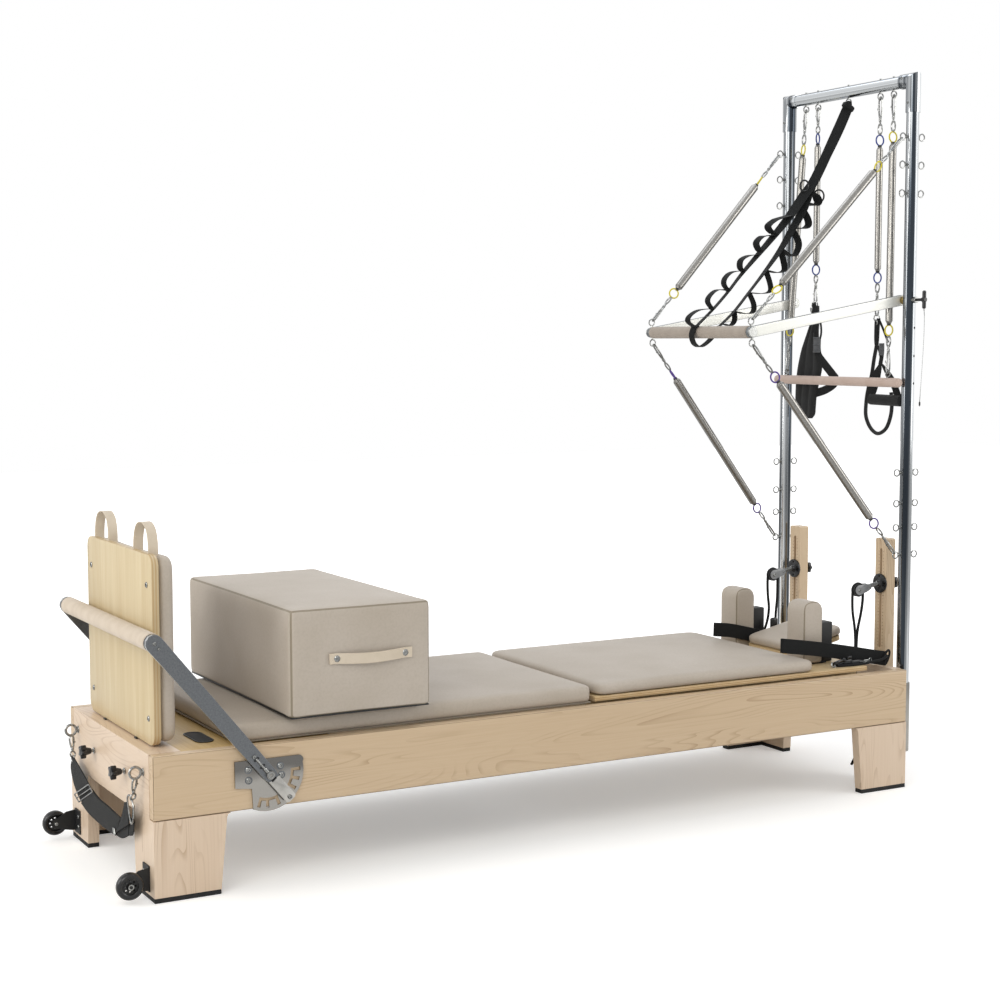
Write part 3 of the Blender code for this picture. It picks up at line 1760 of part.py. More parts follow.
def springs():
    eye_x = POST_X - EYE_REACH
    upper_eye, lower_eye = ptb_eyes()
    arm_middle = (PTB_ARM_INNER + PTB_ARM_OUTER) / 2
    lines = {}
    for side_name, side in SIDES:
        y = side * POST_SPREAD
        lines[f"{side_name}_upper_spring"] = (
            (eye_x, y, UPPER_EYES[0]),
            (upper_eye[0], side * arm_middle, upper_eye[1]),
            0.147,
            0.150,
            True,
        )
        lines[f"{side_name}_lower_spring"] = (
            (eye_x, y, LOWER_EYES[-1]),
            (lower_eye[0], side * arm_middle, lower_eye[1]),
            0.146,
            0.142,
            True,
        )
        lines[f"{side_name}_roll_down_spring"] = (
            (POST_X, side * TOP_EYES[-1], TOP_EYE_Z),
            (ROLL_X, side * ROLL_EYE_SPREAD, roll_eye_z()),
            0.150,
            0.150,
            True,
        )
    lines["near_handle_spring"] = (
        (POST_X, -TOP_EYES[-2], TOP_EYE_Z),
        (SMALL_STRAP_X, -TOP_EYES[-2], HANDLE_HOOK_Z),
        0.153,
        0.130,
        False,
    )
    lines["far_handle_spring"] = (
        (POST_X, TOP_EYES[-2], TOP_EYE_Z),
        (SMALL_STRAP_X, TOP_EYES[-2], THIGH_HOOK_Z),
        0.120,
        0.125,
        False,
    )
    least = math.inf
    for name, line in lines.items():
        points = spring_points(*line)
        least = min(least, least_self_gap(points, WIRE_RADIUS))
        tube(name, points, WIRE_RADIUS, "spring_steel", 1)
    print(f"least gap of a spring's wire to itself: {least * 1000:.2f} mm")


# Straps and handles on the tower


def straight_band(start, end, thickness):
    """Outline of a straight band between two points of a plane."""
    start = Vector(start)
    end = Vector(end)
    along = (end - start).normalized()
    half = Vector((-along.y, along.x)) * thickness / 2
    return [tuple(start + half), tuple(start - half), tuple(end - half), tuple(end + half)]


def looped_band(start, end, bulge, side):
    """A band with loops sewn along one side, and the holes of the loops."""
    start = Vector(start)
    end = Vector(end)
    along = (end - start).normalized()
    out = Vector((-along.y, along.x)) * side
    length = (end - start).length
    pitch = length / LADDER_LOOPS
    edge = LADDER_THICKNESS / 2
    shape = ((0.06, 0.0), (0.14, 0.66), (0.42, 1.0), (0.80, 0.62), (0.93, 0.0))
    outer = []
    holes = []
    for loop in range(LADDER_LOOPS):
        base = loop * pitch
        for share, rise in shape:
            lift = edge + rise * bulge
            outer.append(tuple(start + along * (base + share * pitch) + out * lift))
        hole = []
        for share, rise in ((0.15, 0.0), (0.20, 0.56), (0.42, 0.92), (0.74, 0.55), (0.83, 0.0)):
            lift = edge + rise * (bulge - LADDER_THICKNESS) if rise else edge
            hole.append(tuple(start + along * (base + share * pitch) + out * lift))
        holes.append(hole)
    near_end = [tuple(end + out * edge), tuple(end - out * edge)]
    far_end = [tuple(start - out * edge), tuple(start + out * edge)]
    return [far_end[1:] + outer + near_end + far_end[:1]] + holes


def ladder_strap():
    half = LADDER_WIDTH / 2
    ring_centre = (PTB_BAR_X, PTB_BAR_Z)
    hole = PTB_GRIP_RADIUS + 0.0008
    seat = hole + LADDER_THICKNESS / 2
    upper_end = arc(ring_centre, seat, LADDER_UPPER_SEAT, LADDER_UPPER_SEAT, 1)[0]
    lower_end = arc(ring_centre, seat, LADDER_LOWER_SEAT, LADDER_LOWER_SEAT, 1)[0]
    ring = plate(
        "ladder_strap",
        [arc(ring_centre, hole + LADDER_THICKNESS, 0, 342, 19), arc(ring_centre, hole, 0, 342, 19)],
        TO_XZ,
        -half,
        half,
        "webbing",
    )
    top = (POST_X - 0.004, TOP_EYE_Z - EYE_RADIUS - 0.003)
    stem = plate(
        "ladder_stem",
        [straight_band(top, LADDER_SPLIT, LADDER_THICKNESS * 1.6)],
        TO_XZ,
        -half - 0.002,
        half + 0.002,
        "webbing",
    )
    upper = plate(
        "ladder_upper",
        looped_band(LADDER_SPLIT, upper_end, 0.034, -1),
        TO_XZ,
        -half - 0.001,
        half + 0.001,
        "webbing",
    )
    lower_start = (LADDER_SPLIT[0] + 0.012, LADDER_SPLIT[1] + 0.010)
    bend = (LADDER_SPLIT[0] - 0.061, LADDER_SPLIT[1] - 0.132)
    lower = plate(
        "ladder_lower",
        looped_band(bend, lower_end, 0.036, 1),
        TO_XZ,
        -half - 0.0015,
        half + 0.0015,
        "webbing",
    )
    knee = plate(
        "ladder_knee",
        [straight_band(lower_start, (bend[0] - 0.003, bend[1] - 0.005), LADDER_THICKNESS)],
        TO_XZ,
        -half + 0.001,
        half - 0.001,
        "webbing",
    )
    join(ring, stem, upper, knee, lower)


def thigh_strap():
    """A wide padded band closed into a loop, seen along X."""
    outer = [
        (0.153, THIGH_HOOK_Z - TOUCH),
        (0.166, 1.440),
        (0.190, 1.392),
        (0.246, 1.235),
        (0.250, 1.180),
        (0.248, 1.115),
        (0.238, 1.098),
        (0.166, 1.098),
        (0.157, 1.110),
        (0.143, 1.170),
        (0.052, 1.204),
        (0.019, 1.239),
        (0.098, 1.320),
        (0.100, 1.365),
        (0.136, 1.445),
        (0.143, THIGH_HOOK_Z - TOUCH),
    ]
    hole = [(0.121, 1.290), (0.132, 1.225), (0.078, 1.232), (0.062, 1.242)]
    top_hole = [(0.141, 1.425), (0.146, 1.372), (0.112, 1.368)]
    plate(
        "thigh_strap",
        [outer, hole, top_hole],
        TO_YZ,
        SMALL_STRAP_X - 0.006,
        SMALL_STRAP_X + 0.006,
        "webbing",
    )


def grip_handle():
    """Webbing loop through a tubular handle, seen along X."""
    top = HANDLE_HOOK_Z - TOUCH
    centre = -0.152
    outer = [
        (centre + 0.006, top),
        (centre + 0.012, 1.360),
        (centre + 0.040, 1.240),
        (centre + 0.064, 1.190),
        (centre + 0.064, 1.110),
        (centre + 0.040, 1.072),
        (centre, 1.060),
        (centre - 0.040, 1.072),
        (centre - 0.064, 1.110),
        (centre - 0.064, 1.190),
        (centre - 0.040, 1.240),
        (centre - 0.012, 1.360),
        (centre - 0.006, top),
    ]
    hole = [
        (centre, 1.352),
        (centre + 0.031, 1.236),
        (centre + 0.054, 1.188),
        (centre + 0.054, 1.114),
        (centre + 0.034, 1.080),
        (centre, 1.070),
        (centre - 0.034, 1.080),
        (centre - 0.054, 1.114),
        (centre - 0.054, 1.188),
        (centre - 0.031, 1.236),
    ]
    loop = plate(
        "grip_handle",
        [outer, hole],
        TO_YZ,
        SMALL_STRAP_X - 0.010,
        SMALL_STRAP_X + 0.010,
        "webbing",
    )
    bar = rod(
        "grip_handle_bar",
        (SMALL_STRAP_X, centre + 0.070, 1.168),
        (SMALL_STRAP_X, centre - 0.075, 1.168),
        HANDLE_RADIUS,
        "webbing",
        16,
    )
    join(loop, bar)


# Loop straps and ropes on the carriage


def band_along(name, stations, half_height, half_thickness, finish):
    """A band standing on edge through (x, y, middle height) stations."""
    shape = bmesh.new()
    rings = []
    for number, (x, y, z) in enumerate(stations):
        before = Vector(stations[max(number - 1, 0)][:2])
        after = Vector(stations[min(number + 1, len(stations) - 1)][:2])
        along = (after - before).normalized()
        across = Vector((-along.y, along.x)) * half_thickness
        rings.append(
            [
                shape.verts.new((x + across.x, y + across.y, z - half_height)),
                shape.verts.new((x - across.x, y - across.y, z - half_height)),
                shape.verts.new((x - across.x, y - across.y, z + half_height)),
                shape.verts.new((x + across.x, y + across.y, z + half_height)),
            ]
        )
    for one, two in zip(rings, rings[1:]):
        for corner in range(4):
            after = (corner + 1) % 4
            shape.faces.new((one[corner], one[after], two[after], two[corner]))
    shape.faces.new(rings[0])
    shape.faces.new(rings[-1][::-1])
    return add_object(name, mesh_from(shape, name), finish)


def loop_straps():
    pad_top = deck_top() + PAD_SIDE_HEIGHT + PAD_CROWN
    rail = RAIL_TOP
    near = [
        (REST_START - 0.100, -REST_OUTER - 0.0015, pad_top + 0.0185),
        (REST_START - 0.050, -REST_OUTER - 0.0105, pad_top + 0.0180),
        (REST_START + 0.010, -REST_OUTER - 0.0225, pad_top + 0.013),
        (REST_START + 0.080, -REST_OUTER - 0.0345, pad_top - 0.002),
        (REST_START + 0.150, -REST_OUTER - 0.0485, rail + 0.045),
        (REST_START + 0.210, -REST_OUTER - 0.0605, rail + 0.036),
        (REST_START + 0.260, -REST_OUTER - 0.0715, rail + 0.031),
    ]
    band_along("near_loop_strap", near, 0.023, 0.0045, "webbing")
    far = [
        (REST_START - 0.085, REST_INNER - 0.0090, pad_top + 0.024),
        (REST_START - 0.020, REST_INNER - 0.0065, pad_top + 0.022),
        (REST_START + 0.060, REST_INNER - 0.0060, pad_top - 0.006),
        (REST_START + 0.130, REST_INNER - 0.0065, deck_top() + 0.026),
    ]
    band_along("far_loop_strap", far, 0.023, 0.0032, "webbing")


NEAR_ROPE = (
    (1.036, -0.244, 0.3790),
    (1.052, -0.239, 0.3810),
    (1.066, -0.233, 0.388),
    (1.077, -0.226, 0.406),
    (1.084, -0.218, 0.440),
    (1.085, -0.212, 0.480),
    (1.079, -0.210, 0.520),
    (1.0768, -0.210, 0.555),
    (1.0776, -0.210, 0.589),
    (1.0833, -0.210, 0.6037),
    (1.0970, -0.210, 0.6094),
    (1.1107, -0.210, 0.6037),
    (1.1164, -0.210, 0.589),
    (1.1168, -0.210, 0.555),
    (1.1130, -0.206, 0.510),
    (1.1050, -0.202, 0.460),
    (1.1030, -0.200, 0.390),
    (1.1010, -0.200, 0.300),
    (1.0930, -0.204, 0.215),
    (1.0900, -0.208, 0.160),
    (1.1000, -0.210, 0.105),
    (1.0980, -0.210, 0.075),
    (1.0830, -0.210, 0.050),
)
ROPE_RADIUS = 0.0035


def smooth_route(points, steps):
    """Points of a smooth curve through a route chosen by hand."""
    route = [Vector(point) for point in points]
    route = [2 * route[0] - route[1]] + route + [2 * route[-1] - route[-2]]
    placed = []
    for number in range(1, len(route) - 2):
        a, b, c, d = route[number - 1 : number + 3]
        for step in range(steps):
            t = step / steps
            placed.append(
                0.5
                * (
                    2 * b
                    + (c - a) * t
                    + (2 * a - 5 * b + 4 * c - d) * t * t
                    + (3 * b - a - 3 * c + d) * t * t * t
                )
            )
    placed.append(route[-2])
    return placed


def ropes():
    for side_name, side in SIDES:
        route = [(x, -side * y, z) for x, y, z in NEAR_ROPE]
        tube(f"{side_name}_rope", smooth_route(route, 2), ROPE_RADIUS, "rope", 2)


# Assembly


def build():
    global ORIGIN, PARTS, HELPERS
    clear_scene()
    PARTS = add_collection("Pilates reformer with tower")
    HELPERS = add_collection("Cutters and joining shapes")
    for name, (colour, roughness, metallic) in FINISHES.items():
        MATERIALS[name] = add_material(name, colour, roughness, metallic)
    ORIGIN = bpy.data.objects.new("frame_middle", None)
    PARTS.objects.link(ORIGIN)
    ORIGIN.location.x = FRAME_CENTRE_X
    wooden_frame()
    track_frame()
    carriage()
    shoulder_rests()
    headrest()
    mat_and_box()
    jump_board()
    gear_plates()
    footbar()
    foot_end_knobs()
    casters()
    carry_strap()
    risers()
    posts()
    pull_pin()
    top_bar()
    push_through_bar()
    roll_down_bar()
    springs()
    ladder_strap()
    thigh_strap()
    grip_handle()
    loop_straps()
    ropes()


build()
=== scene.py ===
"""A pilates reformer with its tower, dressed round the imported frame.

Lengths are in metres. The part's own numbers put x = 0 at the middle of the wooden frame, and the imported
frame puts it at the middle of the box, so every piece is made in the part's numbers and moved at the end.
"""

import math

import bmesh
import bpy
from mathutils import Matrix, Vector


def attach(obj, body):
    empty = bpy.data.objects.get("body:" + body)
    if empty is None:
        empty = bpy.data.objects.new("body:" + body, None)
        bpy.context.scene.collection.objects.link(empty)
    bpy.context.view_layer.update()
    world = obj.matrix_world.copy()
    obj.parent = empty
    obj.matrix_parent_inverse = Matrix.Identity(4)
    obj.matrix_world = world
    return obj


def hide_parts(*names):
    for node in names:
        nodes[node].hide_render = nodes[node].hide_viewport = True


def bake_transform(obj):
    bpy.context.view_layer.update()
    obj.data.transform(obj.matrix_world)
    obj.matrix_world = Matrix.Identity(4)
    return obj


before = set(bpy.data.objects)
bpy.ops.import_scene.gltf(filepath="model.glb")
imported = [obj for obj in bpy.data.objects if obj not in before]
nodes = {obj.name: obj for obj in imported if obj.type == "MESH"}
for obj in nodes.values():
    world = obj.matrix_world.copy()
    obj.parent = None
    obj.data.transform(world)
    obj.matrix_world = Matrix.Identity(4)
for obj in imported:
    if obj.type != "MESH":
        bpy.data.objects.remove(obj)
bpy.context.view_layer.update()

scene = bpy.context.scene
SHIFT = 0.00875
TO_FRAME = Matrix.Translation((SHIFT, 0, 0))
SIDES = (("near", -1), ("far", 1))
ACROSS_Y = Vector((0, 1, 0))
UP = Vector((0, 0, 1))

# Places on the tower that several pieces share, in the part's numbers

POST_X = 1.207
POST_Y = 0.293
POST_RADIUS = 0.019
BAR_Z = 2.114
TOP_EYE_Z = 2.087
EYE_HEIGHTS = (1.948, 1.866, 1.782, 0.95, 0.857, 0.784, 0.701)
EYE_REACH = 0.0365
BAR_X = 0.65
BAR_HEIGHT = 1.371
BAR_EYE_Y = 0.255
PIVOT_HEIGHT = 1.467
ROLL_X = 1.171
ROLL_EYE_Y = 0.244
TOP_EYES = {"roll_down": 0.208, "handle": 0.148}

# Camera, at the photograph's place

CAMERA_PLACE = (-2.50835, -4.47206, 1.35058)
CAMERA_YAW = math.radians(29.059)
CAMERA_PITCH = math.radians(5.057)
CAMERA_ROLL = math.radians(0.047)
CAMERA_LENS = 65.338


def add_camera():
    level = math.cos(CAMERA_PITCH)
    forward = Vector((math.sin(CAMERA_YAW) * level, math.cos(CAMERA_YAW) * level, -math.sin(CAMERA_PITCH)))
    right = Vector((math.cos(CAMERA_YAW), -math.sin(CAMERA_YAW), 0))
    up = right.cross(forward)
    turn = Matrix((right, up, -forward)).transposed().to_4x4()
    data = bpy.data.cameras.new("camera")
    data.lens = CAMERA_LENS
    data.clip_end = 60
    camera = bpy.data.objects.new("camera", data)
    camera.matrix_world = Matrix.Translation(CAMERA_PLACE) @ turn @ Matrix.Rotation(-CAMERA_ROLL, 4, "Z")
    scene.collection.objects.link(camera)
    scene.camera = camera


add_camera()

# Shapes


def block(low, high, bevel=0.0, segments=2):
    """A box between two corners, with its edges rounded."""
    low = Vector(low)
    high = Vector(high)
    shape = bmesh.new()
    bmesh.ops.create_cube(shape, size=1)
    size = high - low
    bmesh.ops.scale(shape, vec=size, verts=shape.verts)
    bmesh.ops.translate(shape, vec=(low + high) / 2, verts=shape.verts)
    if bevel:
        bmesh.ops.bevel(
            shape, geom=shape.edges, offset=bevel, segments=segments, profile=0.5, affect="EDGES",
            material=-1,
        )
    return shape


def turned(profile, steps=24):
    """A (radius, height) profile spun round Z."""
    shape = bmesh.new()
    line = [shape.verts.new((radius, 0, height)) for radius, height in profile]
    edges = [shape.edges.new(pair) for pair in zip(line, line[1:])]
    bmesh.ops.spin(
        shape, geom=line + edges, cent=(0, 0, 0), axis=(0, 0, 1), angle=2 * math.pi, steps=steps,
        use_merge=True,
    )
    bmesh.ops.remove_doubles(shape, verts=shape.verts, dist=1e-6)
    return shape


def spun(section, steps):
    """A closed (radius, height) section carried round Z."""
    hoops = []
    for step in range(steps):
        radial = Vector((math.cos(math.tau * step / steps), math.sin(math.tau * step / steps), 0))
        hoops.append(Matrix((radial, UP, radial.cross(UP))).transposed().to_4x4())
    return swept(section, hoops, True)


def round_section(radius, corners=8):
    steps = [2 * math.pi * corner / corners for corner in range(corners)]
    return [(radius * math.cos(angle), radius * math.sin(angle)) for angle in steps]


def band_section(width, thickness):
    """A flat band's section with its edges rounded."""
    w = width / 2
    t = thickness / 2
    c = min(t * 0.8, w * 0.3)
    return [
        (-w + c, -t), (w - c, -t), (w, -t + c), (w, t - c), (w - c, t), (-w + c, t), (-w, t - c),
        (-w, -t + c),
    ]


def smooth(points, steps=4, closed=False):
    """More points on one smooth curve through the given ones."""
    points = [Vector(point) for point in points]
    count = len(points)
    last = count if closed else count - 1
    made = []
    for number in range(last):
        if closed:
            a, b, c, d = (points[(number + offset) % count] for offset in (-1, 0, 1, 2))
        else:
            b, c = points[number], points[number + 1]
            a = points[number - 1] if number else b * 2 - c
            d = points[number + 2] if number + 2 < count else c * 2 - b
        for step in range(steps):
            t = step / steps
            bend = (2 * a - 5 * b + 4 * c - d) * t**2 + (3 * b - a - 3 * c + d) * t**3
            made.append(0.5 * (2 * b + (c - a) * t + bend))
    if not closed:
        made.append(points[-1])
    return made


def places_along(points, across=None, closed=False):
    """A place for each point of a path, with Z along the path and X across it."""
    places = []
    side = None
    count = len(points)
    for number, point in enumerate(points):
        before = points[number - 1] if number or closed else point
        after = points[(number + 1) % count] if number + 1 < count or closed else point
        forward = (after - before).normalized()
        if across is not None:
            side = across[number] if isinstance(across, list) else across
        elif side is None:
            side = forward.orthogonal()
        side = (side - forward * side.dot(forward)).normalized()
        turn = Matrix((side, forward.cross(side), forward)).transposed().to_4x4()
        places.append(Matrix.Translation(point) @ turn)
    return places


def swept(section, places, closed=False):
    """One section carried through the places. Its UV map has metres along and round it."""
    shape = bmesh.new()
    corner = shape.verts.layers.int.new("corner")
    station = shape.verts.layers.int.new("station")
    flat = [Vector((x, y, 0)) for x, y in section]
    ring = [shape.verts.new(places[0] @ point) for point in flat]
    for number, vert in enumerate(ring):
        vert[corner] = number
    first = [shape.edges.new((vert, ring[(number + 1) % len(ring)])) for number, vert in enumerate(ring)]
    edges = first
    for number, place in enumerate(places[1:], 1):
        made = bmesh.ops.extrude_edge_only(shape, edges=edges)["geom"]
        for vert in made:
            if isinstance(vert, bmesh.types.BMVert):
                vert.co = place @ flat[vert[corner]]
                vert[station] = number
        new_edges = [edge for edge in made if isinstance(edge, bmesh.types.BMEdge)]
        edges = [edge for edge in new_edges if all(vert[station] == number for vert in edge.verts)]
    if closed:
        bmesh.ops.bridge_loops(shape, edges=first + edges)
    else:
        bmesh.ops.edgeloop_fill(shape, edges=first)
        bmesh.ops.edgeloop_fill(shape, edges=edges)
    around = [0.0]
    for number, point in enumerate(flat):
        around.append(around[-1] + (flat[(number + 1) % len(flat)] - point).length)
    travelled = [0.0]
    spots = [place.translation for place in places]
    for number, spot in enumerate(spots):
        travelled.append(travelled[-1] + (spots[(number + 1) % len(spots)] - spot).length)
    uv = shape.loops.layers.uv.new("UVMap")
    end_corner = len(flat) - 1
    end_station = len(places) - 1
    for face in shape.faces:
        corners = {loop.vert[corner] for loop in face.loops}
        stations = {loop.vert[station] for loop in face.loops}
        wraps = len(face.verts) == 4 and {0, end_corner} <= corners
        joins = closed and {0, end_station} <= stations
        for loop in face.loops:
            c = loop.vert[corner]
            s = loop.vert[station]
            loop[uv].uv = (
                travelled[end_station + 1 if joins and s == 0 else s],
                around[end_corner + 1 if wraps and c == 0 else c],
            )
    return shape


def tube(points, radius, corners=10, closed=False):
    return swept(round_section(radius, corners), places_along(points, closed=closed), closed)


def ring(centre, radius, wire, normal, corners=8, steps=20, stretch=1.0):
    """A wire ring round a centre, square to the normal, and drawn out to an oval by any stretch."""
    turn = Vector(normal).to_track_quat("Z", "Y").to_matrix().to_4x4()
    place = Matrix.Translation(centre) @ turn
    angles = [2 * math.pi * step / steps for step in range(steps)]
    points = [
        place @ Vector((radius * math.cos(angle), radius * stretch * math.sin(angle), 0)) for angle in angles
    ]
    return tube(points, wire, corners, closed=True)


def flat_plate(outlines, thickness, bevel=0.0, segments=2):
    """A plate in XY from z 0 up, with holes where there is more than one outline."""
    shape = bmesh.new()
    edges = []
    for outline in outlines:
        line = [shape.verts.new((x, y, 0)) for x, y in outline]
        edges += [shape.edges.new((vert, line[(number + 1) % len(line)])) for number, vert in enumerate(line)]
    if len(outlines) > 1:
        bmesh.ops.triangle_fill(shape, use_beauty=True, edges=edges)
    else:
        bmesh.ops.edgeloop_fill(shape, edges=edges)
    made = bmesh.ops.extrude_face_region(shape, geom=shape.faces[:])["geom"]
    verts = [vert for vert in made if isinstance(vert, bmesh.types.BMVert)]
    bmesh.ops.translate(shape, vec=(0, 0, thickness), verts=verts)
    bmesh.ops.recalc_face_normals(shape, faces=shape.faces)
    if bevel:
        rims = [edge for edge in shape.edges if len(edge.link_faces) == 2 and edge.calc_face_angle() > 1.2]
        bmesh.ops.bevel(
            shape, geom=rims, offset=bevel, segments=segments, profile=0.5, affect="EDGES", material=-1,
            clamp_overlap=True,
        )
    return shape


def circle_outline(radius, corners=16, centre=(0, 0)):
    return [(x + centre[0], y + centre[1]) for x, y in round_section(radius, corners)]


def ring_of_holes(radius, corners, spread, count):
    angles = [math.tau * number / count for number in range(count)]
    return [circle_outline(radius, corners, (spread * math.cos(a), spread * math.sin(a))) for a in angles]


def turned_on(spot, way, profile, steps):
    """A spun profile that stands on a spot and points a way."""
    return placed(turned(profile, steps), facing(spot, way))


def rod(start, end, radius, steps=16, bevel=0.0):
    """A round bar between two points, its ends eased."""
    start = Vector(start)
    end = Vector(end)
    length = (end - start).length
    sides = [(radius, 0), (radius, length)]
    if bevel:
        sides = [(radius - bevel, 0), (radius, bevel), (radius, length - bevel), (radius - bevel, length)]
    return turned_on(start, end - start, [(0, 0), *sides, (0, length)], steps)


def in_plane(points, normal):
    """For each point of a flat path, the direction in its plane and square to it."""
    normal = Vector(normal)
    sides = []
    for number, point in enumerate(points):
        before = points[max(number - 1, 0)]
        after = points[min(number + 1, len(points) - 1)]
        sides.append(normal.cross(after - before).normalized())
    return sides


def flat_band(points, width, thickness, normal):
    """A band along a flat path, with its width in the path's plane."""
    return swept(band_section(width, thickness), places_along(points, in_plane(points, normal)))


def placed(shape, matrix):
    shape.transform(matrix)
    return shape


def facing(point, direction):
    """The place that carries +Z to a direction at a point."""
    return Matrix.Translation(point) @ Vector(direction).to_track_quat("Z", "Y").to_matrix().to_4x4()


def together(*shapes):
    """Several shapes as one, each kept as its own closed body."""
    whole = bmesh.new()
    for shape in shapes:
        bmesh.ops.recalc_face_normals(shape, faces=shape.faces)
        mesh = bpy.data.meshes.new("part")
        shape.to_mesh(mesh)
        shape.free()
        whole.from_mesh(mesh)
        bpy.data.meshes.remove(mesh)
    return whole


def make(name, shape, finish, body=None, replaces=(), sharp=35):
    """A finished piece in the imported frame, riding on its body."""
    bmesh.ops.recalc_face_normals(shape, faces=shape.faces)
    shape.transform(TO_FRAME)
    mesh = bpy.data.meshes.new(name)
    shape.to_mesh(mesh)
    shape.free()
    mesh.shade_smooth()
    mesh.set_sharp_from_angle(angle=math.radians(sharp))
    mesh.materials.append(finish)
    obj = bpy.data.objects.new(name, mesh)
    scene.collection.objects.link(obj)
    if body:
        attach(obj, body)
    if replaces:
        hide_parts(*replaces)
    return obj


# Finishes


def linear(code):
    """An sRGB hex colour as linear red, green, blue and alpha."""
    shares = [int(code[start : start + 2], 16) / 255 for start in (0, 2, 4)]
    return [*(s / 12.92 if s <= 0.04045 else ((s + 0.055) / 1.055) ** 2.4 for s in shares), 1.0]


def add(tree, kind, settings, inputs):
    """A node with its settings, and each input set to a value or linked from a socket."""
    made = tree.nodes.new("ShaderNode" + kind)
    for name, value in settings.items():
        setattr(made, name, value)
    for name, value in inputs.items():
        if isinstance(value, bpy.types.NodeSocket):
            tree.links.new(value, made.inputs[name])
        else:
            made.inputs[name].default_value = value
    return made


class Finish:
    """A new material with plain values on its shader, and the kinds of node that the finishes share."""

    def __init__(self, name, plain):
        self.material = bpy.data.materials.new(name)
        self.material.use_nodes = True
        self.tree = self.material.node_tree
        self.shader = self.tree.nodes["Principled BSDF"]
        for socket, value in plain.items():
            self.shader.inputs[socket].default_value = value
        coordinates = add(self.tree, "TexCoord", {}, {}).outputs
        self.place = coordinates["Object"]
        self.unrolled = coordinates["UV"]

    def parts(self, place):
        return add(self.tree, "SeparateXYZ", {}, {"Vector": place}).outputs

    def stretched(self, scale):
        """The object's coordinates, scaled on each axis."""
        return add(self.tree, "Mapping", {}, {"Vector": self.place, "Scale": scale}).outputs[0]

    def noise(self, place, scale, detail, **more):
        inputs = {"Vector": place, "Scale": scale, "Detail": detail, **more}
        return add(self.tree, "TexNoise", {}, inputs).outputs["Fac"]

    def ramp(self, value, low, high, first=0.0, last=1.0, curve="LINEAR"):
        """A value that runs from first to last as the given one runs from low to high."""
        inputs = {"Value": value, 1: low, 2: high, 3: first, 4: last}
        return add(self.tree, "MapRange", {"interpolation_type": curve}, inputs).outputs[0]

    def maths(self, operation, *values):
        return add(self.tree, "Math", {"operation": operation}, dict(enumerate(values))).outputs[0]

    def mix(self, share, one, two):
        """One colour turning into another, each a hex code or a socket."""
        one, two = (linear(tone) if isinstance(tone, str) else tone for tone in (one, two))
        return add(self.tree, "Mix", {"data_type": "RGBA"}, {0: share, 6: one, 7: two}).outputs[2]

    def choose(self, share, one, two):
        return add(self.tree, "Mix", {"data_type": "VECTOR"}, {0: share, 4: one, 5: two}).outputs[1]

    def finished(self, colour, rough=None, height=None, strength=0.0, distance=0.0003):
        """Links the colour, the roughness and the bump, and gives the material."""
        self.tree.links.new(colour, self.shader.inputs["Base Color"])
        if rough is not None:
            self.tree.links.new(rough, self.shader.inputs["Roughness"])
        if height is not None:
            bump = add(self.tree, "Bump", {}, {"Strength": strength, "Distance": distance, "Height": height})
            self.tree.links.new(bump.outputs["Normal"], self.shader.inputs["Normal"])
        return self.material


def drawn_out(grain, along, across):
    """The scales that draw a pattern out along one axis."""
    return [along if axis == grain else across for axis in "xyz"]


def wood(name, base, line, dark, grain, turn_height=None):
    """Clear-lacquered flat-sawn boards: thin brown growth lines in long arches, fine fibre streaks along the
    grain, and a slow change of tint. grain is the axis the fibres run along; below turn_height they stand."""
    look = Finish(name, {"IOR": 1.5, "Coat Weight": 0.35, "Coat Roughness": 0.22})
    broad = look.stretched(drawn_out(grain, 1.0, 9.0))
    fine = look.stretched(drawn_out(grain, 7, 330))
    if turn_height is not None:
        stands = look.maths("LESS_THAN", look.parts(look.place)["Z"], turn_height)
        broad = look.choose(stands, broad, look.stretched(drawn_out("z", 1.0, 9.0)))
        fine = look.choose(stands, fine, look.stretched(drawn_out("z", 7, 330)))
    field = look.noise(broad, 1.15, 1.6, Roughness=0.42, Distortion=0.35)
    phase = look.maths("FRACT", look.maths("MULTIPLY", field, 26.0))
    strength = look.ramp(look.noise(broad, 2.3, 2.0), 0.42, 0.66, 0.04, 0.62)
    lines = look.maths("MULTIPLY", look.ramp(phase, 0.0, 0.34, 1.0, 0.0), strength)
    fibre = look.noise(fine, 1.0, 3.0)
    ground = look.mix(look.noise(broad, 0.5, 1.0), *base)
    streaked = look.mix(look.ramp(fibre, 0.3, 0.75, 0.0, 0.32), ground, line)
    rough = look.ramp(fibre, 0.0, 1.0, 0.38, 0.52)
    return look.finished(look.mix(lines, streaked, dark), rough, fibre, 0.1, 0.0004)


def plied(name, base, veneer, edge, axis, first, pitch, half, grain):
    """Birch plywood: a pale veneer on both faces, and on its edges the plies, light and brown by turns.
    first and half give the board's middle and half thickness along the axis, and pitch its ply."""
    look = Finish(name, {"IOR": 1.5, "Coat Weight": 0.3, "Coat Roughness": 0.25})
    fibre = look.noise(look.stretched(drawn_out(grain, 6, 240)), 1.0, 3.0)
    figure = look.noise(look.stretched(drawn_out(grain, 1, 14)), 2.0, 2.0)
    offset = look.maths("SUBTRACT", look.parts(look.place)[axis], first)
    inside = look.maths("LESS_THAN", look.maths("ABSOLUTE", offset), half - 0.0009)
    wave = look.maths("SINE", look.maths("MULTIPLY", offset, math.pi / pitch))
    on_edge = look.maths("MULTIPLY", look.ramp(wave, -0.25, 0.25, 0.0, 0.85), inside)
    ground = look.mix(look.ramp(figure, 0.35, 0.65), base, veneer)
    streaked = look.mix(look.ramp(fibre, 0.35, 0.75, 0.0, 0.3), ground, edge)
    rough = look.ramp(fibre, 0.0, 1.0, 0.4, 0.55)
    return look.finished(look.mix(on_edge, streaked, edge), rough, fibre, 0.08, 0.0004)


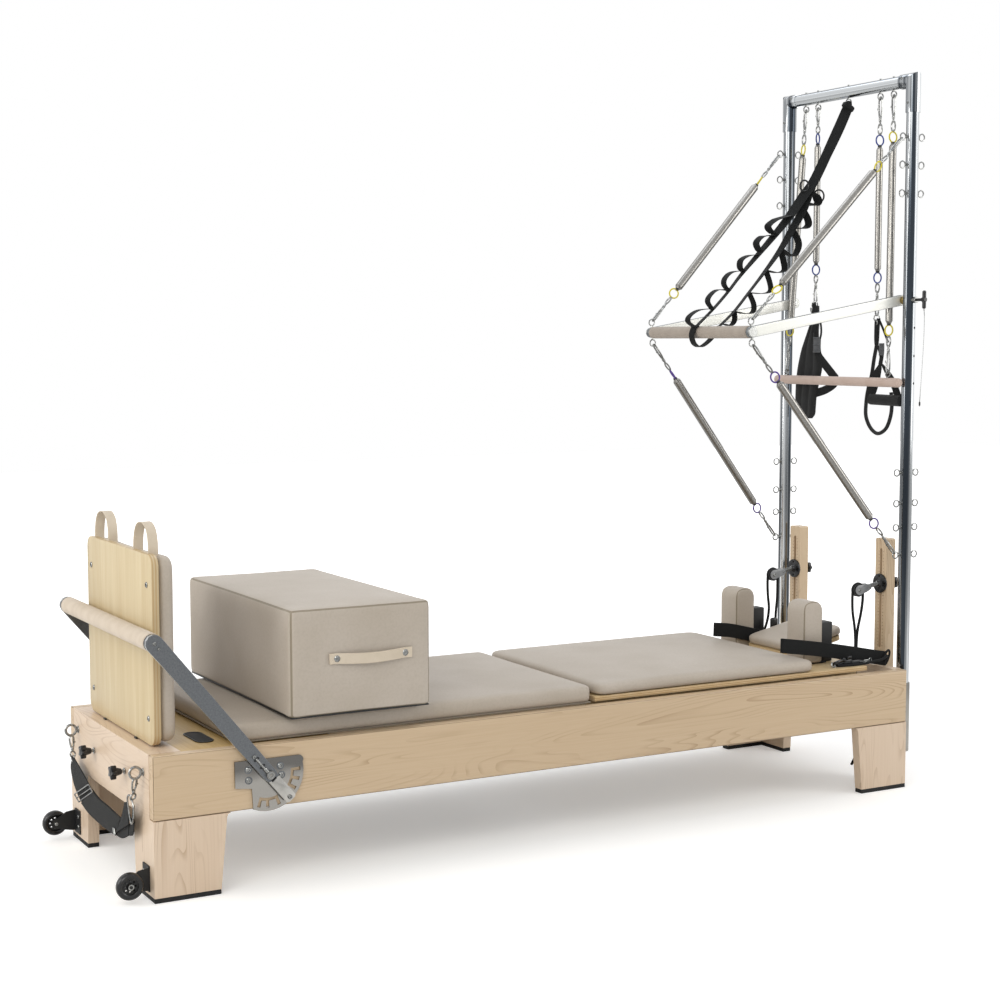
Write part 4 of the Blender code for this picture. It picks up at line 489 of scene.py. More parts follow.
def leather_cloth(name, light, deep):
    """Upholstery vinyl with an embossed pebble grain: a soft sheen broken by small cells. The real grain is
    about 1 mm and is drawn at 2.4 mm, so that it shows in the render."""
    look = Finish(
        name, {"IOR": 1.48, "Sheen Weight": 0.12, "Sheen Roughness": 0.5, "Specular IOR Level": 0.42},
    )
    inputs = {"Vector": look.place, "Scale": 420.0, "Randomness": 0.9}
    pebble = add(look.tree, "TexVoronoi", {"feature": "F1"}, inputs).outputs["Distance"]
    crease = look.noise(look.place, 160.0, 4.0)
    ground = look.mix(look.ramp(look.noise(look.place, 5.0, 3.0), 0.3, 0.7), light, deep)
    colour = look.mix(look.ramp(crease, 0.42, 0.72, 0.0, 0.16), ground, "8E8370")
    rough = look.ramp(pebble, 0.0, 1.0, 0.42, 0.6)
    return look.finished(colour, rough, look.maths("ADD", pebble, crease), 0.16, 0.0006)


def metal(
    name, light, deep, roughness, stretch=(40, 40, 40), spread=0.1, relief=0.05, metallic=1.0, coat=0.0,
    soft=0.2,
):
    """Bare or plated metal: two tones and an uneven polish, drawn out along the brushing where stretch is
    longer one way than the others. On the chrome tubes the two tones are painted reflection streaks. soft is
    how gradually one tone turns into the other."""
    look = Finish(name, {"Metallic": metallic, "Coat Weight": coat})
    brush = look.noise(look.stretched(stretch), 8.0, 5.0)
    colour = look.mix(look.ramp(brush, 0.5 - soft, 0.5 + soft), light, deep)
    rough = look.ramp(brush, 0.0, 1.0, roughness - spread / 2, roughness + spread / 2)
    return look.finished(colour, rough, brush, relief)


def plate_with_painted_reflection(name, upper, lower, low, high):
    """Polished sheet that hangs upright, with a painted reflection: bright below, where a pale floor would
    mirror in it, and grey above. The two tones are laid down by height, with fine brushing across them."""
    look = Finish(name, {"Metallic": 1.0})
    bend = look.maths("MULTIPLY_ADD", look.noise(look.place, 22.0, 1.0), 0.03, -0.015)
    bent = look.maths("ADD", look.parts(look.place)["Z"], bend)
    colour = look.mix(look.ramp(bent, low, high, curve="SMOOTHSTEP"), lower, upper)
    brush = look.noise(look.stretched((4, 90, 90)), 8.0, 4.0)
    return look.finished(colour, look.ramp(brush, 0.0, 1.0, 0.14, 0.24))


def moulded(name, light, deep, roughness, grit=900.0, relief=0.08, sheen=0.0):
    """Moulded plastic, rubber or foam: one colour with a fine spark-eroded grain and faint scuffs."""
    look = Finish(name, {"IOR": 1.48, "Sheen Weight": sheen})
    scuff = look.noise(look.place, 28.0, 4.0)
    colour = look.mix(look.ramp(scuff, 0.35, 0.75), light, deep)
    rough = look.ramp(scuff, 0.0, 1.0, roughness - 0.06, roughness + 0.08)
    return look.finished(colour, rough, look.noise(look.place, grit, 2.0), relief)


def woven(name, light, deep, thread=0.0022, slant=1.0, sheen=0.35, roughness=0.78):
    """Nylon webbing or braid, laid out on the piece's own UV map in metres: two crossing sets of threads.
    Real threads are about 1 mm and are drawn at twice that, so that they show."""
    look = Finish(
        name, {"IOR": 1.5, "Sheen Weight": sheen, "Sheen Roughness": 0.4, "Specular IOR Level": 0.25},
    )
    parts = look.parts(look.unrolled)
    waves = []
    for lean in (slant, -slant):
        line = look.maths("ADD", parts["X"], look.maths("MULTIPLY", parts["Y"], lean))
        waves.append(look.maths("SINE", look.maths("MULTIPLY", line, 2 * math.pi / thread)))
    threads = look.ramp(look.maths("MULTIPLY", *waves), -1.0, 1.0)
    slow = look.noise(look.place, 30.0, 3.0)
    colour = look.mix(look.ramp(look.maths("MULTIPLY", threads, slow), 0.0, 0.6), deep, light)
    rough = look.ramp(slow, 0.0, 1.0, roughness - 0.08, roughness + 0.1)
    return look.finished(colour, rough, threads, 0.5, 0.0006)


MAPLE = ("CFB899", "C4AB8A")
rail_maple = wood("lacquered maple, grain along the rails", MAPLE, "B99D79", "94734F", "x")
end_maple = wood(
    "lacquered maple, end boards over standing leg boards", ("DDC9B3", "D3BCA3"), "C9AF92", "A98A6A", "y",
    0.2003,
)
post_maple = wood("lacquered maple, standing grain", ("D3BD9F", "C9B190"), "BFA27D", "9C7B57", "z")
deck_birch = plied("birch plywood deck", "DCC59C", "D2B88A", "B18E5E", "Z", 0.3685, 0.0026, 0.0065, "y")
platform_birch = plied("birch plywood platform", "CBAE74", "BF9F62", "9A7442", "Z", 0.347, 0.0028, 0.01, "y")
board_birch = plied(
    "birch plywood jump board", "C9B995", "C0AE88", "B39468", "X", -1.1248, 0.0038, 0.0095, "z",
)
vinyl = leather_cloth("grey-beige upholstery vinyl", "BAB0A4", "AFA496")
beige_foam = moulded("beige grip foam", "C9BBA9", "BFB09D", 0.72, 700.0, 0.2, 0.15)
pink_foam = moulded("rose-beige grip foam", "C7B2A6", "BDA79A", 0.72, 700.0, 0.2, 0.15)
grip_foam = moulded("grey-beige grip foam", "A79C90", "9B9085", 0.7, 700.0, 0.2, 0.15)
# Both chrome finishes paint reflections into their colour: light and dark streaks along each tube.
chrome = metal(
    "chromed steel tube, painted reflection streaks along it", "E4E7E9", "3A4047", 0.12, (5.5, 5.5, 0.03), 0.06,
    0.02, soft=0.09,
)
bar_chrome = metal(
    "chromed steel cross tube", "DADDDF", "4A5158", 0.12, (5.5, 0.03, 5.5), 0.06, 0.02, soft=0.1,
)
plated = metal("nickel-plated steel wire", "A9AAA8", "6E6F6E", 0.2)
arm_edge = metal("satin aluminium, sawn edges", "898C8E", "757879", 0.34)
gloss_black = moulded("glossy black nylon", "17181A", "0E0F10", 0.22)
spring_steel = metal("drawn spring steel", "A3A19D", "7B7975", 0.2)
brushed = metal("polished stainless plate", "BBB8B2", "77746F", 0.15, (0.9, 0.9, 0.9), 0.06, 0.02)
# The locking plates carry a painted reflection: bright below and grey above, laid down by height.
gear_steel = plate_with_painted_reflection("polished stainless locking plate", "6F6D6A", "A5A29D", 0.262, 0.302)
anodised = metal("anodised aluminium extrusion", "B7B9BB", "A8AAAC", 0.38, (3, 80, 80))
silver_paint = metal(
    "silver-white powder coat on aluminium", "F8F8F2", "F0F0E9", 0.36, metallic=0.15, coat=0.2,
)
arm_grey = metal("dark satin steel", "74777A", "63666A", 0.32, (30, 30, 30), 0.1, 0.05, 0.85, 0.15)
brass = metal("turned brass", "A8935F", "8C794C", 0.3)
black_plastic = moulded("black moulded nylon", "151617", "0D0E0E", 0.42)
black_steel = moulded("black powder-coated steel", "121315", "0D0E0F", 0.5, 1400.0, 0.15)
rubber = moulded("black rubber", "161616", "0F0F10", 0.72, 500.0, 0.2)
clear_housing = moulded("smoke-grey polycarbonate", "8A8C8E", "6F7173", 0.2, 300.0, 0.02)
webbing = woven("black nylon webbing", "17191A", "070808", sheen=0.08)
beige_webbing = woven("beige vinyl webbing", "D8CBB8", "C9BBA6", 0.0016, 0.0, 0.1, 0.6)
rope_braid = woven("black braided rope", "1B1C1E", "090A0A", 0.006, 0.6, 0.08)
yellow_cable = moulded("yellow coated cable", "D8C922", "C7B81C", 0.35)
blue_cable = moulded("blue coated cable", "1D3A90", "17306F", 0.35)
purple_cable = moulded("purple coated cable", "4E2F8C", "412676", 0.35)

# Ropes: from the deck, over the pulley's wheel and down through the frame to a bare end. The far one is the
# near one mirrored

NEAR_ROPE = (
    (1.036, -0.244, 0.379), (1.052, -0.239, 0.381), (1.066, -0.233, 0.388), (1.077, -0.226, 0.406),
    (1.084, -0.218, 0.44), (1.085, -0.212, 0.48), (1.079, -0.21, 0.52), (1.0768, -0.21, 0.555),
    (1.0776, -0.21, 0.589), (1.0833, -0.21, 0.6037), (1.097, -0.21, 0.6094), (1.1107, -0.21, 0.6037),
    (1.1164, -0.21, 0.589), (1.1168, -0.21, 0.555), (1.113, -0.206, 0.51), (1.105, -0.202, 0.46),
    (1.103, -0.2, 0.39), (1.101, -0.2, 0.3), (1.093, -0.204, 0.215), (1.09, -0.208, 0.16),
    (1.1, -0.21, 0.105), (1.098, -0.21, 0.075), (1.083, -0.21, 0.05),
)
ROPE_RADIUS = 0.0042


def add_rope(side_name, side):
    line = smooth([(x, -side * y, z) for x, y, z in NEAR_ROPE], 3)
    shape = tube(line, ROPE_RADIUS, 10)
    rope = make(f"{side_name}_pulley_rope", shape, rope_braid, None, (f"{side_name}_rope",))
    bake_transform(rope)


for side_name, side in SIDES:
    add_rope(side_name, side)

# Carried-over parts: a finish for every node, and softened edges on the wood and the plates


def pairs(*names):
    """The near and the far node of each name."""
    return [f"{side_name}_{name}" for name in names for side_name, _ in SIDES]


NODE_FINISHES = {
    rail_maple: pairs("side_rail"),
    end_maple: ["foot_end_frame", "head_end_frame"],
    post_maple: pairs("pulley_riser"),
    platform_birch: ["foot_platform"],
    deck_birch: ["carriage_deck"],
    board_birch: ["jump_board"],
    rubber: pairs("foot_end_foot", "head_end_foot"),
    anodised: ["track_frame"],
    gear_steel: pairs("gear_plate"),
    arm_grey: ["footbar_frame"],
    chrome: [*pairs("post"), "top_bar"],
    silver_paint: ["push_through_bar"],
    beige_foam: ["footbar_grip"],
    pink_foam: ["roll_down_bar"],
    black_steel: pairs("caster_bracket"),
    black_plastic: [
        *pairs("caster_wheel", "star_knob", "pulley_mount", "pulley_wheel"), "foot_side_axle",
        "tower_side_axle", "pull_pin",
    ],
    vinyl: [*pairs("shoulder_rest"), "carriage_pad", "headrest", "conversion_mat", "sitting_box", "jump_pad"],
    webbing: [*pairs("loop_strap"), "ladder_strap", "carry_strap", "thigh_strap", "grip_handle"],
    spring_steel: [
        "carriage_springs", *pairs("upper_spring", "lower_spring", "roll_down_spring", "handle_spring")
    ],
}
for finish, names in NODE_FINISHES.items():
    for name in names:
        for place in nodes[name].material_slots:
            place.material = finish

EDGE_ROUNDING = {
    0.0022: pairs("side_rail", "pulley_riser"),
    0.0015: ["foot_end_frame", "head_end_frame", *pairs("foot_end_foot", "head_end_foot")],
    0.0012: ["foot_platform", "footbar_frame", "push_through_bar"],
    0.0010: ["carriage_deck"],
}
for width, names in EDGE_ROUNDING.items():
    for name in names:
        weld = nodes[name].modifiers.new("weld", "WELD")
        weld.merge_threshold = 1e-5
        soft = nodes[name].modifiers.new("softened edges", "BEVEL")
        soft.width = width
        soft.segments = 2
        soft.limit_method = "ANGLE"
        soft.angle_limit = math.radians(40)
        soft.harden_normals = True

# Upholstery: foam blocks under tight covers. Each cover is blown up a little, then its seams are sunk in and
# given darker vinyl as painted shade

SETTLE_FRAMES = 20
COVER_PRESSURE = 4.0
# The sunk seam strips take a darker vinyl: painted shade in the seam.
seam_painted_shade = leather_cloth("seam fold in the vinyl, darkened as painted shade", "8F8473", "827866")
cushions = []


def clamp(value, limit):
    return max(-limit, min(limit, value))


def cover_shape(half, corners, edge, cell, crown, draw, seams):
    """A closed block of even squares about the origin, with rounded corners and edges, a crowned top, sides
    that pull in between the corners, and its seam lines marked."""
    shape = bmesh.new()
    bmesh.ops.create_cube(shape, size=2)
    bmesh.ops.scale(shape, vec=half, verts=shape.verts)
    for axis in range(3):
        lines = [line for line in shape.edges if abs(line.verts[0].co[axis] - line.verts[1].co[axis]) > 1e-6]
        cuts = max(1, round(2 * half[axis] / cell) - 1)
        bmesh.ops.subdivide_edges(shape, edges=lines, cuts=cuts, use_grid_fill=True)
    seam = shape.edges.layers.int.new("seam")
    near = 1e-5
    for line in shape.edges:
        one, two = (vert.co for vert in line.verts)
        sides = []
        for axis in range(3):
            if abs(abs(one[axis]) - half[axis]) < near and abs(one[axis] - two[axis]) < near:
                sides.append(axis)
        if len(sides) < 2:
            continue
        if 2 not in sides:
            line[seam] = int("uprights" in seams)
        else:
            line[seam] = int(("top" if one.z > 0 else "bottom") in seams)
    for vert in shape.verts:
        flat = Vector((vert.co.x, vert.co.y))
        corner = corners[1] if vert.co.y > 0 else corners[0]
        core = Vector((clamp(flat.x, half.x - corner), clamp(flat.y, half.y - corner)))
        off = flat - core
        reach = corner - edge
        core = core + off.normalized() * reach if off.length > reach else flat
        middle = Vector((core.x, core.y, clamp(vert.co.z, half.z - edge)))
        away = vert.co - middle
        vert.co = middle + away.normalized() * edge if away.length > 1e-9 else middle
    for vert in shape.verts:
        x = clamp(vert.co.x / half.x, 1.0)
        y = clamp(vert.co.y / half.y, 1.0)
        if vert.co.z > 0:
            share = vert.co.z / half.z
            vert.co.z += crown * share * (1 - abs(x) ** 3.5) * (1 - abs(y) ** 3.5)
        vert.co.x -= math.copysign(draw * (1 - y**2) * abs(x) ** 6, x)
        vert.co.y -= math.copysign(draw * (1 - x**2) * abs(y) ** 6, y)
    return shape


def add_cushion(name, centre, size, body, replaces, turn=None, cell=0.014, cap=0.004, fill=0.85, **form):
    """A cover round a centre. turn carries its thickness, which is its own Z, to where it faces."""
    half = Vector(size) / 2
    shape = cover_shape(
        half, form.get("corners", (0.02, 0.02)), form.get("edge", 0.01), cell, form.get("crown", 0.0),
        form.get("draw", 0.0015), form.get("seams", ("top",)),
    )
    shape.transform(Matrix.Translation(centre) @ (turn or Matrix.Identity(4)))
    mesh = bpy.data.meshes.new(name)
    shape.to_mesh(mesh)
    shape.free()
    obj = bpy.data.objects.new(name, mesh)
    scene.collection.objects.link(obj)
    cushions.append((obj, cap, body, replaces, fill))


def settle_covers():
    """Blows every cover up at once under a light pressure, and keeps the swelling to each one's cap."""
    for obj, *_ in cushions:
        cloth = obj.modifiers.new("cover", "CLOTH")
        cloth.settings.use_pressure = True
        cloth.settings.uniform_pressure_force = COVER_PRESSURE
        cloth.settings.effector_weights.gravity = 0
        cloth.settings.quality = 4
        cloth.point_cache.frame_end = SETTLE_FRAMES
    for number in range(1, SETTLE_FRAMES + 1):
        scene.frame_set(number)
    graph = bpy.context.evaluated_depsgraph_get()
    settled = {
        obj.name: [vert.co.copy() for vert in obj.evaluated_get(graph).data.vertices] for obj, *_ in cushions
    }
    for obj, cap, *_ in cushions:
        obj.modifiers.clear()
        moves = [new - vert.co for new, vert in zip(settled[obj.name], obj.data.vertices)]
        longest = max(move.length for move in moves)
        share = min(1.0, cap / max(longest, 1e-6))
        for vert, move in zip(obj.data.vertices, moves):
            vert.co += move * share
    scene.frame_set(1)


def finish_cushion(obj, body, replaces):
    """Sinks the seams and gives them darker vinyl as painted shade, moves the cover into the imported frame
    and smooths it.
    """
    shape = bmesh.new()
    shape.from_mesh(obj.data)
    seam = shape.edges.layers.int["seam"]
    lines = [line for line in shape.edges if line[seam]]
    if lines:
        strips = bmesh.ops.bevel(
            shape, geom=lines, offset=0.0017, segments=1, profile=0.5, affect="EDGES", material=-1,
        )["faces"]
        for face in strips:
            # the seam strips take the darker vinyl, painted shade
            face.material_index = 1
        bmesh.ops.inset_region(shape, faces=strips, thickness=0.0006, depth=-0.0013, use_even_offset=True)
    bmesh.ops.recalc_face_normals(shape, faces=shape.faces)
    shape.transform(TO_FRAME)
    shape.to_mesh(obj.data)
    shape.free()
    obj.data.shade_smooth()
    obj.data.materials.append(vinyl)
    obj.data.materials.append(seam_painted_shade)
    finer = obj.modifiers.new("smooth cover", "SUBSURF")
    finer.levels = finer.render_levels = 1
    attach(obj, body)
    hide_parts(*replaces)


TO_FOOT_FACE = Matrix(((0, 0, 1, 0), (1, 0, 0, 0), (0, 1, 0, 0), (0, 0, 0, 1)))
TO_SIDE_FACE = Matrix(((1, 0, 0, 0), (0, 0, -1, 0), (0, 1, 0, 0), (0, 0, 0, 1)))
MAT_BOARD_TOP = 0.3645
HEADREST_PIVOT = Vector((0.915, 0, 0.379))
HEADREST_TILT = math.radians(12)
headrest_place = Matrix.Translation(HEADREST_PIVOT) @ Matrix.Rotation(-HEADREST_TILT, 4, "Y")

add_cushion(
    "conversion_mat_cover", (-0.4385, 0, 0.3858), (1.036, 0.642, 0.0465), "conversion_mat",
    ("conversion_mat",), corners=(0.022, 0.022), edge=0.01, crown=0.0055, cap=0.002, draw=0.002, seams=(),
)
add_cushion(
    "carriage_pad_cover", (0.4785, 0, 0.3925), (0.764, 0.636, 0.0325), "carriage", ("carriage_pad",),
    corners=(0.04, 0.04), edge=0.012, crown=0.0075, cap=0.003, draw=0.0025, seams=(),
)
add_cushion(
    "sitting_box_cover", (-0.634, 0, 0.553), (0.39, 0.742, 0.272), "sitting_box", ("sitting_box",),
    corners=(0.016, 0.016), edge=0.009, crown=0.001, cap=0.004, draw=0.002,
    seams=("top", "bottom", "uprights"), fill=1.0,
)
add_cushion(
    "jump_board_cover", (-1.1022, 0, 0.597), (0.53, 0.464, 0.038), "jump_board", ("jump_pad",),
    turn=TO_FOOT_FACE, corners=(0.034, 0.034), edge=0.016, crown=0.0045, cap=0.003, draw=0.002, seams=(),
)
add_cushion(
    "headrest_cover", (0, 0, 0), (0.216, 0.224, 0.0265), "headrest", ("headrest",),
    turn=headrest_place @ Matrix.Translation((0.1155, 0, 0.0262)), cell=0.01, corners=(0.028, 0.028),
    edge=0.0095, crown=0.0035, cap=0.0015, draw=0.001, seams=(),
)
for side_name, side in SIDES:
    add_cushion(
        f"{side_name}_shoulder_cover", (0.9275, side * 0.16925, 0.472), (0.073, 0.188, 0.0865),
        f"{side_name}_shoulder_rest", (f"{side_name}_shoulder_rest",), turn=TO_SIDE_FACE, cell=0.008,
        corners=(0.01, 0.031), edge=0.006, cap=0.001, draw=0.0, seams=("top", "bottom"),
    )
settle_covers()
for obj, cap, body, replaces, fill in cushions:
    finish_cushion(obj, body, replaces)

# Boards under the upholstery, and its small fittings

# The strip under the mat's cover is darker vinyl: painted shade under the overhanging cushion.
mat_underside_painted_shade = leather_cloth("vinyl turned under the mat, darkened as painted shade", "8A7F70", "7E7465")
make(
    "conversion_mat_board", block((-0.9525, -0.3165, 0.3605), (0.0755, 0.3165, MAT_BOARD_TOP), 0.001),
    mat_underside_painted_shade, "conversion_mat",
)
box_board = block((-0.8235, -0.3655, 0.4162), (-0.4445, 0.3655, 0.4205), 0.001)
make("sitting_box_base_cloth", box_board, black_plastic, "sitting_box")
headrest_board = block((0.005, -0.113, 0.0), (0.214, 0.113, 0.0118))
uprights = [line for line in headrest_board.edges if abs(line.verts[0].co.z - line.verts[1].co.z) > 0.005]
bmesh.ops.bevel(
    headrest_board, geom=uprights, offset=0.026, segments=6, profile=0.5, affect="EDGES", material=-1,
)
headrest_leaves = [block((0.0, low, 0.0005), (0.02, low + 0.024, 0.003), 0.0005) for low in (-0.0692, 0.0452)]
make("headrest_board", placed(headrest_board, headrest_place), deck_birch, "headrest")
knuckle = [(0, 0), (0.0036, 0), (0.0036, 0.024), (0, 0.024)]
knuckles = [turned_on((0, low, 0), ACROSS_Y, knuckle, 12) for low in (-0.0692, 0.0452)]
make("headrest_hinge", placed(together(*headrest_leaves, *knuckles), headrest_place), plated, "headrest")
for side_name, side in SIDES:
    low, high = sorted((side * 0.148, side * 0.19))
    post = block((0.9655, low, 0.3755), (1.018, high, 0.496), 0.003, 3)
    low, high = sorted((side * 0.135, side * 0.205))
    foot = block((0.925, low, 0.3755), (0.985, high, 0.3785), 0.001)
    make(f"{side_name}_shoulder_post", together(post, foot), black_steel, f"{side_name}_shoulder_rest")


def screw_head(radius, height):
    """A pan head with a round socket sunk in its top."""
    rim = [(0, 0), (radius, 0), (radius, height * 0.45), (radius * 0.8, height)]
    socket = radius * 0.45
    return turned([*rim, (socket, height), (socket, height * 0.35), (0, height * 0.35)], 14)


def screw(radius, height, spot, way):
    return placed(screw_head(radius, height), facing(spot, way))


def cross_rod(x, z, side, inner, outer, radius, steps, bevel):
    """A rod along Y on one side, between two distances from the middle."""
    low, high = sorted((side * inner, side * outer))
    return rod((x, low, z), (x, high, z), radius, steps, bevel)


# Jump board: its plywood, the two foot loops, four screws and the pegs under it


def add_jump_board():
    board = flat_plate([smooth_rectangle((-0.268, 0.362), (0.268, 0.832), 0.03)], 0.019, 0.0015)
    board = placed(board, Matrix.Translation((-1.143, 0, 0)) @ TO_FOOT_FACE)
    make("jump_board_plywood", board, board_birch, "jump_board", ("jump_board",))
    pegs = [
        block((-1.136, side * 0.13 - 0.01, 0.302), (-1.13, side * 0.13 + 0.01, 0.366), 0.001)
        for _, side in SIDES
    ]
    make("jump_board_pegs", together(*pegs), plated, "jump_board")
    places = ((-0.231, 0.757), (0.231, 0.757), (-0.23, 0.427), (0.23, 0.427))
    heads = [screw(0.0075, 0.0024, (-1.1432, y, z), (-1, 0, 0)) for y, z in places]
    make("jump_board_screws", together(*heads), plated, "jump_board")
    for side_name, side in SIDES:
        middle = side * 0.163
        arch = [
            (-0.056, 0.806), (-0.058, 0.834), (-0.056, 0.862), (-0.044, 0.888), (-0.02, 0.902),
            (0.006, 0.9035), (0.032, 0.896), (0.05, 0.874), (0.057, 0.848), (0.0575, 0.83), (0.056, 0.806),
        ]
        line = smooth([(-1.1222, middle + y, z) for y, z in arch], 4)
        band = swept(band_section(0.026, 0.0022), places_along(line, Vector((1, 0, 0))))
        make(f"{side_name}_foot_loop", band, beige_webbing, "jump_board")


def smooth_rectangle(low, high, radius, steps=6):
    """A rectangle's outline with its corners rounded."""
    outline = []
    for turn in range(4):
        x = high[0] - radius if turn in (0, 3) else low[0] + radius
        y = high[1] - radius if turn in (0, 1) else low[1] + radius
        for step in range(steps + 1):
            angle = math.radians(90 * turn + 90 * step / steps)
            outline.append((x + radius * math.cos(angle), y + radius * math.sin(angle)))
    return outline


add_jump_board()

# Sitting box handles: a vinyl strap held by a rivet at each end, on both faces

BOX_RIVET = ((0, 0), (0.0085, 0), (0.0085, 0.001), (0.0065, 0.0026), (0.0025, 0.0022), (0, 0.0018))


def add_box_handle():
    low_x, high_x, height = -0.705, -0.517, 0.56
    for name, face in SIDES:
        surface = face * 0.3752
        spots = [
            (low_x - 0.02, surface, height), (low_x, surface + face * 0.001, height + 0.0002),
            (low_x + 0.02, surface + face * 0.0035, height - 0.001),
            (low_x + 0.06, surface + face * 0.008, height - 0.003),
            ((low_x + high_x) / 2, surface + face * 0.0095, height - 0.0035),
            (high_x - 0.06, surface + face * 0.008, height - 0.003),
            (high_x - 0.02, surface + face * 0.0035, height - 0.001),
            (high_x, surface + face * 0.001, height + 0.0002), (high_x + 0.02, surface, height),
        ]
        strap = swept(band_section(0.027, 0.003), places_along(smooth(spots, 4), UP))
        make(f"{name}_box_handle", strap, beige_webbing, "sitting_box")
        base = surface + face * 0.0018
        rivets = [turned_on((x, base, height), (0, face, 0), BOX_RIVET, 20) for x in (low_x, high_x)]
        make(f"{name}_box_rivets", together(*rivets), plated, "sitting_box")


add_box_handle()

# Foot platform inserts

for side_name, side in SIDES:
    slot = flat_plate([smooth_rectangle((-0.021, -0.0625), (0.021, 0.0625), 0.0205)], 0.0016, 0.0006)
    place = Matrix.Translation((-1.003, side * 0.19, 0.3571))
    make(f"{side_name}_platform_insert", placed(slot, place), rubber, "frame")
    lip = flat_plate(
        [
            smooth_rectangle((-0.024, -0.0655), (0.024, 0.0655), 0.0235),
            smooth_rectangle((-0.0205, -0.062), (0.0205, 0.062), 0.02),
        ],
        0.0024, 0.0005,
    )
    make(f"{side_name}_platform_rim", placed(lip, place), black_plastic, "frame")

# Springs: close-wound coils between coated cable loops and swivel snap hooks

TURN_STEPS = 12


def coil(length, radius, wire, pitch, neck=0.014):
    """A close-wound spring up Z, drawn in at both ends. One turn is spun, and the others repeat it."""
    turns = max(3, round(length / pitch))
    rise = length / turns
    shape = bmesh.new()
    section = [shape.verts.new((radius + x, 0, y)) for x, y in round_section(wire, 6)]
    edges = [shape.edges.new((vert, section[(number + 1) % 6])) for number, vert in enumerate(section)]
    bmesh.ops.spin(
        shape, geom=section + edges, cent=(0, 0, 0), axis=(0, 0, 1), dvec=(0, 0, rise / TURN_STEPS),
        angle=2 * math.pi, steps=TURN_STEPS, use_merge=False,
    )
    bmesh.ops.recalc_face_normals(shape, faces=shape.faces)
    turn = bpy.data.meshes.new("turn")
    shape.to_mesh(turn)
    for _ in range(turns - 1):
        turn.transform(Matrix.Translation((0, 0, rise)))
        shape.from_mesh(turn)
    bpy.data.meshes.remove(turn)
    bmesh.ops.remove_doubles(shape, verts=shape.verts, dist=1e-5)
    ends = [edge for edge in shape.edges if len(edge.link_faces) == 1]
    bmesh.ops.holes_fill(shape, edges=ends, sides=6)
    for vert in shape.verts:
        room = min(vert.co.z, length - vert.co.z)
        share = 0.42 + 0.58 * math.sin(math.pi / 2 * min(1.0, max(0.0, room / neck)))
        vert.co.x *= share
        vert.co.y *= share
    return shape


HOOK_LENGTH = 0.0625


def snap_hook(length):
    """A swivel snap hook up Z, its nose at z 0 and its swivel eye ending at the length."""
    nose = [
        (0.0000, 0.002), (0.0052, 0.004), (0.0072, 0.011), (0.0066, 0.022), (0.0034, 0.033),
        (-0.0034, 0.033), (-0.0062, 0.022), (-0.007, 0.011), (-0.0052, 0.004),
    ]
    loop = tube(smooth([(x, 0, z) for x, z in nose], 3, closed=True), 0.0026, 8, closed=True)
    gate = placed(
        turned([(0, 0), (0.0026, 0), (0.0026, 0.016), (0, 0.016)], 8),
        Matrix.Translation((0.0062, 0, 0.0105)),
    )
    thumb = turned_on((0.007, 0, 0.02), (1, 0, 0), [(0, 0), (0.0016, 0), (0.0022, 0.0045), (0, 0.0045)], 8)
    barrel = placed(
        turned(
            [
                (0, 0), (0.0034, 0), (0.0046, 0.003), (0.0046, 0.006), (0.003, 0.0085), (0.003, 0.012),
                (0, 0.012),
            ],
            12,
        ),
        Matrix.Translation((0, 0, 0.0335)),
    )
    eye = ring((0, 0, 0.053), 0.0084, 0.0024, ACROSS_Y, 8, 18)
    shape = together(loop, gate, thumb, barrel, eye)
    stretch = length / HOOK_LENGTH
    shape.transform(Matrix.Diagonal((1, 1, stretch, 1)))
    return shape


def along_line(start, end, distance):
    """The place on a line that far from its start, with Z along the line and X as near to +Y as it can be."""
    forward = (end - start).normalized()
    side = (ACROSS_Y - forward * ACROSS_Y.dot(forward)).normalized()
    turn = Matrix((side, forward.cross(side), forward)).transposed().to_4x4()
    return Matrix.Translation(start + forward * distance) @ turn


LOOP_SIZE = 0.0315
EYE_LINK = 0.004


def add_spring(name, start, end, gaps, radius, cable, turns, replaces):
    """One spring between two eyes. gaps are the lengths from each eye to the coil, and turns the angles of
    the two cable loops about the spring's line."""
    start = Vector(start)
    end = Vector(end)
    length = (end - start).length
    first, last = gaps
    body_length = length - first - last
    wound = coil(body_length, radius, 0.00125, 0.0025)
    steps = round(body_length / 0.007)
    middle = [Vector((0, 0, 0.01 + (body_length - 0.02) * step / steps)) for step in range(steps + 1)]
    core = tube(middle, radius + 0.0009, 24)
    coiled = placed(together(wound, core), along_line(start, end, first))
    fittings = []
    loops = []
    caps = []
    for gap, turn, outward, far_point in ((first, turns[0], start, end), (last, turns[1], end, start)):
        hook = snap_hook(gap - LOOP_SIZE - 0.002 - EYE_LINK)
        fittings.append(placed(hook, along_line(outward, far_point, EYE_LINK)))
        place = along_line(outward, far_point, gap - LOOP_SIZE / 2 - 0.002)
        spin = Matrix.Rotation(math.radians(turn), 4, "Z")
        oval = [
            (0.0145 * math.cos(angle), 0, 0.0158 * math.sin(angle))
            for angle in (2 * math.pi * step / 20 for step in range(20))
        ]
        cable_loop = tube([Vector(point) for point in oval], 0.0023, 8, closed=True)
        loops.append(placed(cable_loop, place @ spin))
        loops.append(placed(rod((0, 0, 0.015), (0, 0, 0.026), 0.0019, 10), place))
        cap = rod((0, 0, gap - 0.0035), (0, 0, gap + 0.003), 0.0062, 16, 0.0012)
        caps.append(placed(cap, along_line(outward, far_point, 0)))
    pieces = [
        make(f"{name}_end_caps", together(*caps), black_plastic),
        make(f"{name}_coil", coiled, spring_steel, None, (replaces,), 60),
        make(f"{name}_hooks", together(*fittings), plated),
        make(f"{name}_cable_loops", together(*loops), cable),
    ]
    for piece in pieces:
        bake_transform(piece)


